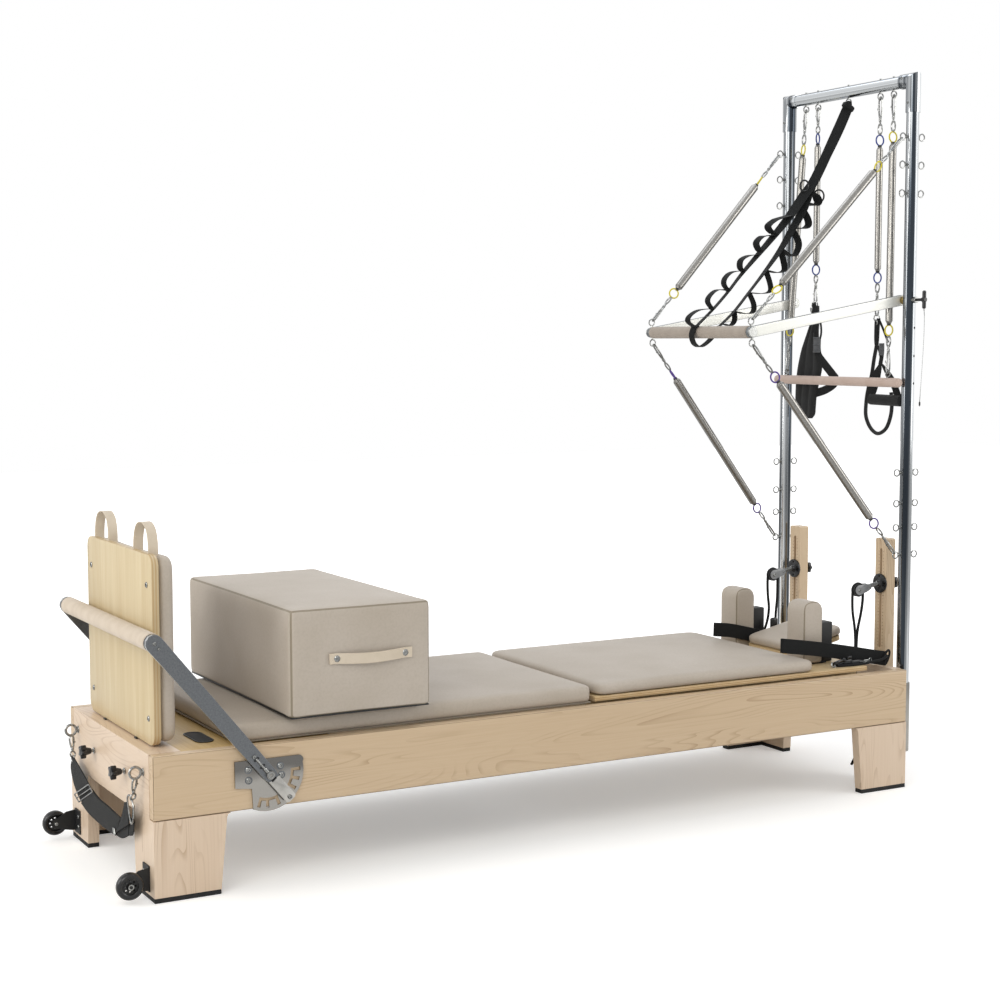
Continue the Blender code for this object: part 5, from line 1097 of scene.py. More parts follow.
for side_name, side in SIDES:
    add_spring(
        f"{side_name}_upper", (1.17, side * POST_Y, EYE_HEIGHTS[0]), (BAR_X, side * BAR_EYE_Y, 1.403),
        (0.1445, 0.143), 0.0112, yellow_cable, (70 if side < 0 else 30, 15 if side < 0 else 75),
        f"{side_name}_upper_spring",
    )
    add_spring(
        f"{side_name}_lower", (1.17, side * POST_Y, EYE_HEIGHTS[-1]),
        (BAR_X + 0.004, side * BAR_EYE_Y, 1.339), (0.146, 0.144), 0.0112, purple_cable,
        (80 if side < 0 else 90, 95 if side < 0 else 20), f"{side_name}_lower_spring",
    )
    add_spring(
        f"{side_name}_roll_down", (POST_X, side * TOP_EYES["roll_down"], TOP_EYE_Z),
        (ROLL_X, side * ROLL_EYE_Y, 1.242), (0.15, 0.153), 0.0102, yellow_cable,
        (90 if side < 0 else 15, 10), f"{side_name}_roll_down_spring",
    )
add_spring(
    "grip_handle", (POST_X, -TOP_EYES["handle"], TOP_EYE_Z), (POST_X, -TOP_EYES["handle"], 1.417),
    (0.153, 0.138), 0.0092, blue_cable, (90, 90), "near_handle_spring",
)
add_spring(
    "thigh_strap", (POST_X, TOP_EYES["handle"], TOP_EYE_Z), (POST_X, TOP_EYES["handle"], 1.462),
    (0.12, 0.127), 0.0092, blue_cable, (60, 90), "far_handle_spring",
)

# Tower posts and top bar, with round eyes for the springs at every height

TOP_EYE_PLACES = (-TOP_EYES["roll_down"], -TOP_EYES["handle"], 0.0, TOP_EYES["handle"], TOP_EYES["roll_down"])
POST_TOP = 2.05
BASE_LOW, BASE_HIGH = 0.098, 0.31
HEIGHT_HOLES = (1.384, 1.3, 1.218)


def eye_bolt(centre, toward, reach, size=0.0102, wire=0.0021):
    """A round eye with its shank and nut, its ring seen from the side, reaching a tube's face."""
    centre = Vector(centre)
    toward = Vector(toward)
    return (
        ring(centre, size, wire, ACROSS_Y, 8, 20),
        rod(centre + toward * (size - 0.0005), centre + toward * (reach + 0.001), 0.0026, 10),
        rod(centre + toward * (reach - 0.0045), centre + toward * (reach + 0.0006), 0.005, 6, 0.0006),
    )


def add_posts():
    for side_name, side in SIDES:
        y = side * POST_Y
        foot = block((1.1753, y - 0.027, 0.11), (1.1895, y + 0.027, 0.298), 0.0012)
        sleeve = rod((POST_X, y, BASE_LOW), (POST_X, y, BASE_HIGH), POST_RADIUS + 0.0035, 40, 0.0012)
        make(f"{side_name}_post_base", together(foot, sleeve), brushed, "frame")
        make(
            f"{side_name}_post_tube",
            rod((POST_X, y, BASE_LOW + 0.007), (POST_X, y, POST_TOP), POST_RADIUS, 48, 0.0008), chrome,
            "frame", (f"{side_name}_post",),
        )
        eyes = []
        for height in EYE_HEIGHTS:
            eyes += eye_bolt((POST_X - EYE_REACH, y, height), (1, 0, 0), 0.0178)
            eyes += eye_bolt((POST_X + EYE_REACH, y, height), (-1, 0, 0), 0.0178)
        make(f"{side_name}_post_eyes", together(*eyes), plated, "frame")
        bush = cross_rod(POST_X, PIVOT_HEIGHT, side, 0.2625, 0.2745, 0.0118, 24, 0.001)
        make(f"{side_name}_pivot_bush", bush, brass, "frame")
        stud = cross_rod(POST_X, PIVOT_HEIGHT, side, 0.245, 0.264, 0.0076, 20, 0.001)
        make(f"{side_name}_pivot_stud", stud, plated, "frame")
        outward = Vector((0.3, side * 0.954, 0))
        holes = []
        for height in HEIGHT_HOLES:
            middle = Vector((POST_X, y, height))
            holes.append(rod(middle + outward * 0.017, middle + outward * 0.0194, 0.004, 14, 0.0004))
        make(f"{side_name}_height_holes", together(*holes), black_plastic, "frame")


def add_top_bar():
    tube_bar = rod((POST_X, -0.27, BAR_Z), (POST_X, 0.27, BAR_Z), POST_RADIUS, 48)
    make("top_bar_tube", tube_bar, bar_chrome, "frame", ("top_bar",))
    elbows = []
    screws = []
    for _, side in SIDES:
        corner = Vector((POST_X, side * POST_Y, BAR_Z))
        low = Vector((POST_X, side * POST_Y, 2.02))
        inner = Vector((POST_X, side * 0.246, BAR_Z))
        across = Vector((1, 0, 0))
        first = places_along([low, corner], across)[0]
        last = Matrix.Translation(inner - corner) @ places_along([corner, inner], across)[0]
        level = corner + (inner - corner).normalized() * (corner - low).length
        mitre = places_along([low, corner, level], across)[1] @ Matrix.Diagonal((1, math.sqrt(2), 1, 1))
        elbows.append(swept(round_section(0.0221, 40), [first, mitre, last]))
        for spot, way in (
            ((POST_X - 0.0216, side * POST_Y, 2.048), (-1, 0, 0)),
            ((POST_X - 0.02, side * 0.264, BAR_Z + 0.0085), (-0.92, 0, 0.39)),
        ):
            screws.append(screw(0.0048, 0.0022, spot, way))
    make("top_bar_elbows", together(*elbows), chrome, "frame")
    make("top_bar_screws", together(*screws), plated, "frame")
    eyes = []
    for y in TOP_EYE_PLACES:
        eyes += eye_bolt((POST_X, y, 2.0825), UP, 0.0126)
        eyes.append(rod((POST_X, y, 2.132), (POST_X, y, 2.1362), 0.005, 6, 0.0006))
    make("top_bar_eyes", together(*eyes), plated, "frame")


add_posts()
add_top_bar()

# Push-through bar: two flat arms on the pivots, a foam grip between them, and an eye above and below each
# end. Then the roll-down bar, and the pull pin with its chain

ARM_HALF_WIDTH = 0.016
GRIP_HALF = 0.2474
ROLL_HALF = 0.3


def shade_edges(obj, finish):
    """Gives the faces that don't look to the sides another finish."""
    obj.data.materials.append(finish)
    for face in obj.data.polygons:
        if abs(face.normal.y) < 0.75:
            face.material_index = 1


def add_push_through_bar():
    pivot = Vector((POST_X, 0, PIVOT_HEIGHT))
    bar = Vector((BAR_X, 0, BAR_HEIGHT))
    along = (bar - pivot).normalized()
    up = Vector((-along.z, 0, along.x))
    outline = []
    for centre, begin in ((pivot, -90), (bar, 90)):
        for step in range(9):
            angle = math.radians(begin + 180 * step / 8)
            away = up * math.sin(angle) * ARM_HALF_WIDTH - along * math.cos(angle) * ARM_HALF_WIDTH
            spot = centre + away
            outline.append((spot.x, spot.z))
    for side_name, side in SIDES:
        arm = placed(flat_plate([outline], 0.014, 0.0022, 3), TO_SIDE_FACE)
        arm = placed(arm, Matrix.Translation((0, 0.262 if side > 0 else -0.248, 0)))
        replaced = ("push_through_bar",) if side < 0 else ()
        obj = make(f"{side_name}_push_arm", arm, silver_paint, "push_through_bar", replaced)
        shade_edges(obj, arm_edge)
        cap = [cross_rod(BAR_X, BAR_HEIGHT, side, 0.2618, 0.2652, 0.015, 28, 0.001)]
        for height, x, way in ((0.0315, BAR_X, -1), (-0.0315, BAR_X + 0.004, 1)):
            cap += eye_bolt((x, side * BAR_EYE_Y, BAR_HEIGHT + height), (0, 0, way), 0.0156, 0.01)
        make(f"{side_name}_push_arm_fittings", together(*cap), plated, "push_through_bar")
    grip = make(
        "push_through_grip",
        rod((BAR_X, -GRIP_HALF, BAR_HEIGHT), (BAR_X, GRIP_HALF, BAR_HEIGHT), 0.018, 36, 0.003), grip_foam,
        "push_through_bar",
    )


def add_roll_down_bar():
    angles = [math.radians(10 * step) for step in range(9, -1, -1)]
    profile = [(0.014 * math.cos(angle), ROLL_HALF - 0.009 + 0.009 * math.sin(angle)) for angle in angles]
    profile += [(radius, -height) for radius, height in profile[::-1]]
    shape = turned_on((ROLL_X, 0, 1.22), ACROSS_Y, profile, 32)
    make("roll_down_grip", shape, pink_foam, "roll_down_bar", ("roll_down_bar",))
    eyes = []
    for _, side in SIDES:
        eyes += eye_bolt((ROLL_X, side * ROLL_EYE_Y, 1.2455), (0, 0, -1), 0.012, 0.0085)
    make("roll_down_eyes", together(*eyes), plated, "roll_down_bar")


def add_pull_pin():
    y = -0.312
    barrel = rod((POST_X, y + 0.003, PIVOT_HEIGHT), (POST_X, y - 0.013, PIVOT_HEIGHT), 0.0092, 24, 0.0012)
    make("pull_pin_barrel", barrel, plated, "frame")
    stem = rod((POST_X, y - 0.004, PIVOT_HEIGHT), (POST_X, -0.357, PIVOT_HEIGHT), 0.0045, 20)
    cross = rod(
        (POST_X, -0.357, PIVOT_HEIGHT - 0.027), (POST_X, -0.357, PIVOT_HEIGHT + 0.027), 0.0058, 20, 0.003,
    )
    hub = rod((POST_X, -0.349, PIVOT_HEIGHT), (POST_X, -0.3635, PIVOT_HEIGHT), 0.0072, 20, 0.0015)
    make(
        "pull_pin_handle", together(stem, cross, hub), gloss_black, "pull_pin",
        ("pull_pin",),
    )
    hang = smooth(
        [
            (POST_X, -0.357, 1.438), (POST_X + 0.001, -0.3585, 1.41), (POST_X, -0.358, 1.34),
            (POST_X - 0.001, -0.354, 1.26), (POST_X - 0.001, -0.349, 1.19), (POST_X - 0.001, -0.347, 1.164),
        ],
        14,
    )
    beads = [ring(hang[0], 0.0028, 0.0007, ACROSS_Y, 6, 12), tube(hang, 0.00055, 6)]
    for point in hang[1:-1]:
        bead = bmesh.new()
        bmesh.ops.create_icosphere(bead, subdivisions=1, radius=0.00125)
        beads.append(placed(bead, Matrix.Translation(point)))
    make("pull_pin_chain", together(*beads), plated, "pull_pin")
    make(
        "pull_pin_chain_ring", ring((POST_X - 0.001, -0.347, 1.158), 0.0058, 0.0016, (0.6, -0.8, 0)),
        black_plastic, "pull_pin",
    )


add_push_through_bar()
add_roll_down_bar()
add_pull_pin()

# Ladder strap: a webbing from the top bar that forks in two, each part sewn into hanging loops

LADDER_TOP = Vector((1.2045, 0, 2.07))
OPEN_SIDE = Vector((0.75, -0.66, 0))
EDGE_SIDE = Vector((-0.3, -0.95, 0))
LOOP_SIDE = Vector((0.16, -0.987, 0))
FRONT_PART = (
    (1.158, 1.983), (1.081, 1.845), (1.036, 1.79), (0.97, 1.712), (0.893, 1.634), (0.806, 1.549),
    (0.752, 1.491), (0.699, 1.44), (0.641, 1.391),
)
BACK_PART = (
    (1.085, 1.852), (1.062, 1.812), (1.031, 1.741), (0.993, 1.686), (0.949, 1.623), (0.894, 1.559),
    (0.83, 1.49), (0.777, 1.434), (0.724, 1.39),
)
UNDER_THE_BAR = (
    (0.641, 1.391), (0.63, 1.3855), (0.622, 1.363), (0.631, 1.3375), (0.655, 1.3285), (0.69, 1.35),
    (0.724, 1.39),
)
FRONT_LOOPS = (
    ((0.985, 1.728), (0.947, 1.719), (0.922, 1.71), (0.9, 1.692), (0.914, 1.675), (0.93, 1.671)),
    ((0.925, 1.667), (0.902, 1.664), (0.876, 1.66), (0.857, 1.642), (0.864, 1.623), (0.874, 1.615)),
    ((0.866, 1.606), (0.827, 1.602), (0.8, 1.588), (0.797, 1.566), (0.811, 1.553)),
    ((0.815, 1.557), (0.768, 1.552), (0.743, 1.535), (0.738, 1.515), (0.755, 1.495)),
    ((0.758, 1.497), (0.714, 1.498), (0.687, 1.481), (0.679, 1.462), (0.696, 1.44)),
    ((0.7, 1.442), (0.646, 1.437), (0.613, 1.419), (0.609, 1.402), (0.633, 1.386)),
)
BACK_LOOPS = (
    ((1.06, 1.8), (1.086, 1.788), (1.094, 1.772), (1.078, 1.762), (1.052, 1.766)),
    ((1.033, 1.745), (1.051, 1.721), (1.055, 1.701), (1.036, 1.69), (0.997, 1.69)),
    ((0.992, 1.685), (1.014, 1.657), (1.018, 1.632), (1.002, 1.606), (0.976, 1.61), (0.95, 1.625)),
    ((0.949, 1.623), (0.962, 1.586), (0.964, 1.561), (0.937, 1.553), (0.894, 1.559)),
    ((0.894, 1.559), (0.91, 1.522), (0.912, 1.497), (0.882, 1.489), (0.832, 1.491)),
    ((0.832, 1.491), (0.85, 1.456), (0.846, 1.432), (0.817, 1.428), (0.777, 1.434)),
    ((0.777, 1.434), (0.779, 1.408), (0.764, 1.392), (0.738, 1.396)),
)


def add_ladder():
    bands = []

    def band(spots, width, thickness=0.0022, steps=5, side=EDGE_SIDE):
        """A webbing in the plane of the ladder: its face turned out above, and towards side below."""
        points = smooth([(x, 0, z) for x, z in spots], steps)
        turns = [min(1.0, max(0.0, (point.z - 1.52) / 0.27)) for point in points]
        across = [side.lerp(OPEN_SIDE, turn).normalized() for turn in turns]
        bands.append(swept(band_section(width, thickness), places_along(points, across)))

    top = (LADDER_TOP.x, LADDER_TOP.z)
    band((top, *FRONT_PART), 0.031)
    band(((top[0] + 0.004, top[1]), (1.164, 1.984), *BACK_PART), 0.028)
    band(UNDER_THE_BAR, 0.024, side=LOOP_SIDE)
    for spots in FRONT_LOOPS + BACK_LOOPS:
        band(spots, 0.023, 0.0018, 6, LOOP_SIDE)
    knot = block((-0.0115, -0.019, -0.009), (0.0115, 0.019, 0.009), 0.005, 3)
    knot = placed(knot, facing(LADDER_TOP + Vector((0, 0, -0.002)), (0.55, 0, 0.83)))
    over_ring = ring(LADDER_TOP + Vector((0.0015, 0, 0.006)), 0.0085, 0.003, (0.3, 1, 0))
    strap = make("ladder_webbing", together(*bands), webbing, None, ("ladder_strap",))
    knot = make("ladder_knot", together(knot, over_ring), webbing)
    rings = [
        ring((1.041, 0.004, 1.82), 0.014, 0.0028, (0.35, 1, 0), 8, 24, 1.2),
        ring((1.097, 0.004, 1.79), 0.0165, 0.0028, (0.5, 1, 0.2), 8, 24, 1.2),
    ]
    clips = make("ladder_rings", together(*rings), gloss_black)
    for piece in (strap, knot, clips):
        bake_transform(piece)


add_ladder()

# Thigh strap and grip handle, each hung from its spring on a ring

neoprene = moulded("black neoprene cloth", "161718", "0D0E0E", 0.85, 420.0, 0.3, 0.1)
grey_acetal = moulded("dark grey acetal buckle", "4C4E51", "3F4144", 0.35)


def quilted_section(channels, steps=6):
    """A padded panel's section, one unit wide and one unit thick, pulled in between its channels."""
    front = []
    count = channels * steps
    for number in range(count + 1):
        share = number / count
        swell = 0.28 + 0.22 * abs(math.sin(math.pi * channels * share)) ** 0.5
        front.append((share - 0.5, swell * min(1.0, 0.25 + 7 * min(share, 1 - share))))
    return front + [(x, -y) for x, y in front[::-1]]


def panel(one_edge, other_edge, thickness, section, steps=5):
    """A panel between two edge lines that face along X, its section stretched from one to the other."""
    places = []
    deep = Vector((thickness, 0, 0))
    for one, two in zip(smooth(one_edge, steps), smooth(other_edge, steps)):
        wide = two - one
        turn = Matrix((wide, deep, wide.cross(deep).normalized())).transposed().to_4x4()
        places.append(Matrix.Translation((one + two) / 2) @ turn)
    return swept(section, places)


def facing_x(x, points):
    return [Vector((x, y, z)) for y, z in points]


def strap_bands(front, bands, steps):
    """Flat webbings that face along X, each with its place before the front, its width and its points."""
    cloth = []
    for before, width, points in bands:
        line = smooth(facing_x(front - before, points), steps)
        cloth.append(flat_band(line, width, 0.0022, (1, 0, 0)))
    return cloth


def ladder_lock(low, high, heights, sunk, radius, bevel):
    """A strap buckle: a plate between two corners, with bars across it at three heights."""
    pieces = [block(low, high, bevel)]
    for height in heights:
        ends = [(low[0] + sunk, low[1] + 0.0005, height), (low[0] + sunk, high[1] - 0.0005, height)]
        pieces.append(rod(*ends, radius, 12, 0.001))
    return together(*pieces)


def add_thigh_strap():
    far_edge = [
        (0.15, 1.457), (0.163, 1.412), (0.185, 1.371), (0.212, 1.324), (0.226, 1.285), (0.235, 1.251),
        (0.241, 1.21), (0.243, 1.17), (0.243, 1.13), (0.241, 1.108), (0.23, 1.095),
    ]
    near_edge = [
        (0.137, 1.457), (0.133, 1.412), (0.133, 1.371), (0.124, 1.329), (0.114, 1.285), (0.112, 1.253),
        (0.125, 1.21), (0.136, 1.17), (0.14, 1.132), (0.143, 1.11), (0.157, 1.096),
    ]
    body = "thigh_strap"
    cuff = panel(facing_x(POST_X, far_edge), facing_x(POST_X, near_edge), 0.017, quilted_section(3))
    pad = make("thigh_strap_cuff", cuff, neoprene, body, ("thigh_strap",), 60)
    front = POST_X - 0.0085
    bands = (
        (0.001, 0.020, [(0.144, 1.466), (0.141, 1.44), (0.137, 1.402), (0.135, 1.372)]),
        (0.003, 0.009, [(0.137, 1.464), (0.119, 1.428), (0.106, 1.398), (0.103, 1.372), (0.108, 1.352)]),
        (
            0.002, 0.031,
            [(0.121, 1.352), (0.121, 1.318), (0.112, 1.294), (0.084, 1.27), (0.05, 1.243), (0.026, 1.224)],
        ),
        (-0.0085, 0.027, [(0.03, 1.227), (0.052, 1.207), (0.094, 1.189), (0.14, 1.178)]),
    )
    make("thigh_strap_webbing", together(*strap_bands(front, bands, 5)), webbing, body)
    heights = (1.31, 1.332, 1.354)
    buckle = ladder_lock(
        (front - 0.0068, 0.105, 1.307), (front - 0.0036, 0.137, 1.357), heights, 0.0002, 0.0032, 0.0012,
    )
    make("thigh_strap_buckle", buckle, grey_acetal, body)
    rings = [
        ring((POST_X - 0.003, 0.148, 1.46), 0.0105, 0.002, (1, 0.35, 0), 8, 24),
        ring((POST_X - 0.005, 0.162, 1.442), 0.0085, 0.0018, (1, -0.5, 0.2), 8, 20),
    ]
    make("thigh_strap_rings", together(*rings), plated, body)


def add_grip_handle():
    body = "grip_handle"
    loop = [
        (-0.152, 1.414), (-0.149, 1.385), (-0.146, 1.34), (-0.134, 1.29), (-0.124, 1.24), (-0.107, 1.19),
        (-0.1, 1.15), (-0.101, 1.111), (-0.123, 1.077), (-0.157, 1.061), (-0.194, 1.078), (-0.214, 1.116),
        (-0.219, 1.155), (-0.215, 1.189),
    ]
    foot_loop = tube(smooth(facing_x(POST_X + 0.004, loop), 5), 0.0058, 12)
    make("grip_handle_foot_loop", foot_loop, neoprene, body)
    front = POST_X - 0.003
    bands = (
        (0.0, 0.016, [(-0.15, 1.41), (-0.149, 1.392), (-0.149, 1.35), (-0.152, 1.33)]),
        (0.001, 0.011, [(-0.15, 1.345), (-0.157, 1.332), (-0.166, 1.318), (-0.174, 1.296)]),
        (-0.002, 0.009, [(-0.158, 1.412), (-0.172, 1.392), (-0.188, 1.366), (-0.203, 1.34)]),
        (0.002, 0.018, [(-0.181, 1.338), (-0.181, 1.312), (-0.177, 1.288), (-0.173, 1.272)]),
    )
    cloth = strap_bands(front, bands, 4)
    apex = (-0.171, 1.281)
    for outer, inner in (
        (
            [apex, (-0.14, 1.25), (-0.112, 1.215), (-0.112, 1.17)],
            [(-0.176, 1.262), (-0.17, 1.232), (-0.158, 1.198), (-0.146, 1.176)],
        ),
        (
            [apex, (-0.203, 1.26), (-0.24, 1.226), (-0.272, 1.172)],
            [(-0.182, 1.262), (-0.206, 1.228), (-0.228, 1.196), (-0.238, 1.17)],
        ),
    ):
        wing = panel(
            facing_x(front + 0.001, outer), facing_x(front + 0.001, inner), 0.003, band_section(1, 1), 4,
        )
        cloth.append(wing)
    make("grip_handle_webbing", together(*cloth), webbing, body)
    bar = rod((POST_X, -0.122, 1.166), (POST_X, -0.271, 1.164), 0.0168, 32, 0.006)
    grip = make("grip_handle_bar", bar, neoprene, body, ("grip_handle",))
    heights = (1.303, 1.319, 1.335)
    buckle = ladder_lock(
        (front - 0.0056, -0.19, 1.3), (front - 0.0028, -0.17, 1.338), heights, 0.0006, 0.0026, 0.001,
    )
    make("grip_handle_buckle", buckle, grey_acetal, body)
    rings = [
        ring((POST_X - 0.002, -0.149, 1.415), 0.0095, 0.002, (1, 0.3, 0), 8, 24),
        ring((POST_X - 0.004, -0.151, 1.402), 0.0075, 0.0018, (1, -0.4, 0.1), 8, 20),
    ]
    make("grip_handle_rings", together(*rings), plated, body)


add_thigh_strap()
add_grip_handle()

# Carry strap: a wide webbing between the foot-end eye bolts, with a slider buckle and a folded near end

STRAP_X = -1.195
EYE_Y = 0.277
EYE_Z = 0.308


def cornered(corners, cut=0.14):
    """A closed outline through the corners, each one cut and rounded."""
    points = []
    for number, corner in enumerate(corners):
        before = corners[number - 1]
        after = corners[(number + 1) % len(corners)]
        points += [
            corner.lerp(before, cut), corner.lerp(before, cut * 0.25), corner.lerp(after, cut * 0.25),
            corner.lerp(after, cut),
        ]
    return points


def add_carry_strap():
    body = "carry_strap"
    lower = [
        (0.266, 0.236), (0.284, 0.206), (0.262, 0.17), (0.215, 0.141), (0.18, 0.131), (0.122, 0.12),
        (0.06, 0.116), (0.004, 0.114), (-0.06, 0.114), (-0.12, 0.116), (-0.168, 0.12), (-0.215, 0.138),
    ]
    upper = [
        (0.255, 0.238), (0.232, 0.232), (0.17, 0.213), (0.108, 0.192), (0.076, 0.186), (0.03, 0.178),
        (-0.01, 0.176), (-0.058, 0.175), (-0.11, 0.172), (-0.162, 0.169), (-0.198, 0.168), (-0.226, 0.17),
    ]
    thick = 0.0036
    belt = panel(facing_x(STRAP_X, lower), facing_x(STRAP_X, upper), thick, band_section(1, 1), 4)
    doubled = panel(
        facing_x(STRAP_X - 0.0035, lower[4:10]), facing_x(STRAP_X - 0.0035, upper[4:10]), 0.0028,
        band_section(1, 1), 4,
    )
    outer = [(-0.236, 0.172), (-0.238, 0.19), (-0.232, 0.208), (-0.226, 0.226)]
    inner = [(-0.124, 0.124), (-0.152, 0.148), (-0.182, 0.182), (-0.209, 0.222)]
    fold = panel(
        facing_x(STRAP_X - 0.0055, outer), facing_x(STRAP_X - 0.0055, inner), 0.0034, band_section(1, 1), 5,
    )
    return_end = panel(
        facing_x(STRAP_X + 0.001, [(-0.226, 0.17), (-0.24, 0.185), (-0.25, 0.214), (-0.252, 0.226)]),
        facing_x(STRAP_X + 0.001, [(-0.215, 0.138), (-0.25, 0.15), (-0.262, 0.19), (-0.262, 0.222)]), 0.003,
        band_section(1, 1), 4,
    )
    make(
        "carry_strap_belt", together(belt, doubled, fold, return_end), webbing, body,
        ("carry_strap",),
    )
    slider = cornered(
        facing_x(STRAP_X - 0.0052, [(0.238, 0.142), (0.1, 0.199), (0.07, 0.185), (0.198, 0.13)])
    )
    bar_ends = facing_x(STRAP_X - 0.0052, [(0.216, 0.137), (0.086, 0.191)])
    frames = [tube(slider, 0.0019, 8, closed=True), rod(*bar_ends, 0.0016, 8)]
    corner = tube(
        cornered(
            facing_x(STRAP_X - 0.008, [(-0.112, 0.134), (-0.122, 0.12), (-0.131, 0.122), (-0.122, 0.136)])
        ),
        0.0016, 8, closed=True,
    )
    eyes = []
    hooks = []
    for side_name, side in SIDES:
        eyes.append(ring((STRAP_X, side * EYE_Y, EYE_Z), 0.0141, 0.0036, ACROSS_Y, 10, 32))
        eyes.append(rod((STRAP_X + 0.0145, side * EYE_Y, EYE_Z), (-1.1752, side * EYE_Y, EYE_Z), 0.0056, 18))
        eyes.append(rod((-1.1775, side * EYE_Y, EYE_Z), (-1.1751, side * EYE_Y, EYE_Z), 0.0098, 24, 0.0006))
        start = Vector((STRAP_X, side * (EYE_Y - 0.002), EYE_Z - 0.013))
        end = Vector((STRAP_X, 0.262 if side > 0 else -0.254, 0.236))
        turned_out = Matrix.Rotation(math.radians(65), 4, "Z")
        hooks.append(placed(snap_hook((end - start).length), along_line(start, end, 0) @ turned_out))
    dee = smooth(
        facing_x(
            STRAP_X - 0.004,
            [
                (-0.24, 0.246), (-0.258, 0.24), (-0.272, 0.22), (-0.27, 0.196), (-0.256, 0.178),
                (-0.246, 0.186), (-0.226, 0.222), (-0.226, 0.238),
            ],
        ),
        4, closed=True,
    )
    dee = tube(dee, 0.0024, 8, closed=True)
    top_ring = ring((STRAP_X, 0.262, 0.233), 0.0085, 0.0018, (1, 0.2, 0), 8, 20)
    make("foot_end_eyes", together(*eyes), plated, "frame")
    make("carry_strap_hooks", together(*hooks, dee, top_ring), plated, body)
    make("carry_strap_buckle", together(*frames, corner), plated, body)


add_carry_strap()

# Loop straps on the carriage: doubled webbing folded at both ends, with its clip and rope lying below


def folded_loop(line, half_gap, steps=6):
    """The closed line of a flattened loop, out along one side of a path and back along the other."""
    line = smooth(line, steps)
    sides = [UP.cross(b - a).normalized() for a, b in zip(line, line[1:])]
    sides.append(sides[-1])
    out = [point + side * half_gap for point, side in zip(line, sides)]
    back = [point - side * half_gap for point, side in zip(line, sides)]
    far_tip = line[-1] + (line[-1] - line[-2]).normalized() * half_gap
    near_tip = line[0] - (line[1] - line[0]).normalized() * half_gap
    return out + [far_tip] + back[::-1] + [near_tip]


def add_loop_straps():
    near_line = [
        (0.79, -0.236, 0.447), (0.84, -0.24, 0.44), (0.9, -0.245, 0.431), (0.97, -0.252, 0.419),
        (1.04, -0.259, 0.406), (1.1, -0.266, 0.394), (1.156, -0.272, 0.3835),
    ]
    far_line = [
        (0.8, 0.116, 0.446), (0.86, 0.1185, 0.438), (0.92, 0.119, 0.424), (0.97, 0.119, 0.411),
        (1.02, 0.1185, 0.399),
    ]
    for name, line, gap in (("near", near_line, 0.0036), ("far", far_line, 0.0026)):
        loop = folded_loop(line, gap)
        band = swept(band_section(0.043, 0.0024), places_along(loop, UP, True), True)
        make(
            f"{name}_loop_strap_webbing", band, webbing, "carriage", (f"{name}_loop_strap",),
        )
    end_loop = smooth(
        [
            (1.147, -0.276, 0.39), (1.154, -0.279, 0.404), (1.163, -0.278, 0.409), (1.171, -0.274, 0.404),
            (1.173, -0.271, 0.392), (1.167, -0.271, 0.377), (1.16, -0.272, 0.367),
        ],
        5,
    )
    make("near_loop_strap_cord", tube(end_loop, 0.0034, 8), rope_braid, "carriage")
    tail = smooth(
        [
            (0.962, -0.284, 0.3795), (0.996, -0.29, 0.3795), (1.03, -0.292, 0.3792), (1.062, -0.292, 0.38),
            (1.1, -0.29, 0.383), (1.13, -0.288, 0.385), (1.143, -0.286, 0.3895), (1.154, -0.282, 0.393),
            (1.157, -0.279, 0.385), (1.149, -0.278, 0.378),
        ],
        6,
    )
    make("near_clip_cord", tube(tail, 0.0042, 8), rope_braid, "carriage")
    lying = Matrix.Translation((0.946, -0.281, 0.385)) @ Matrix.Rotation(math.radians(78), 4, "Y")
    black_clip = placed(
        snap_hook(0.07),
        lying @ Matrix.Rotation(math.radians(60), 4, "Z") @ Matrix.Diagonal((1.6, 1.6, 1, 1)),
    )
    swivel = [
        block((0.985, -0.286, 0.378), (1.018, -0.268, 0.397), 0.005, 3),
        block((1.012, -0.289, 0.379), (1.046, -0.272, 0.3925), 0.004, 3),
        rod((1.036, -0.281, 0.385), (1.062, -0.28, 0.383), 0.0066, 14, 0.0016),
        rod((0.962, -0.276, 0.38), (0.992, -0.28, 0.39), 0.0058, 14, 0.0016),
    ]
    make("near_clip", together(black_clip, *swivel), gloss_black, "carriage")
    silver = [
        ring((0.944, -0.285, 0.383), 0.0072, 0.002, (0.3, -1, 0.4), 8, 20),
        block((1.056, -0.29, 0.38), (1.084, -0.276, 0.3846), 0.0014),
        block((1.06, -0.288, 0.3846), (1.078, -0.277, 0.39), 0.0018),
        ring((1.086, -0.285, 0.386), 0.006, 0.0018, (0.2, -1, 0.2), 8, 18),
    ]
    make("near_clip_fittings", together(*silver), plated, "carriage")
    hanging = [
        block((1.024, 0.112, 0.381), (1.046, 0.124, 0.42), 0.004, 3),
        block((1.0195, 0.11, 0.418), (1.044, 0.124, 0.466), 0.006, 3),
        rod((1.034, 0.118, 0.377), (1.052, 0.14, 0.3785), 0.0052, 14, 0.0012),
    ]
    make("far_clip", together(*hanging), gloss_black, "carriage")


add_loop_straps()

# Footbar: its foam sleeve, end collars, screws, plungers and the bright tongues that lock in the plates

PIVOT = Vector((-0.884, 0, 0.287))
FOOTBAR_AXIS = Vector((-1.172, 0, 0.635))
ARM_FACE = 0.3705
TONGUE = (
    (-0.013, 0.015), (-0.085, 0.015), (-0.0894, 0.01), (-0.0894, -0.01), (-0.085, -0.015), (-0.018, -0.015),
)
pale_edge = metal("bright ground edge", "C3C5C6", "A9ABAC", 0.28)
mirror_plate = metal("polished stainless tongue", "D3D1CC", "A8A6A1", 0.16, (2.5, 2.5, 2.5), 0.06, 0.02)


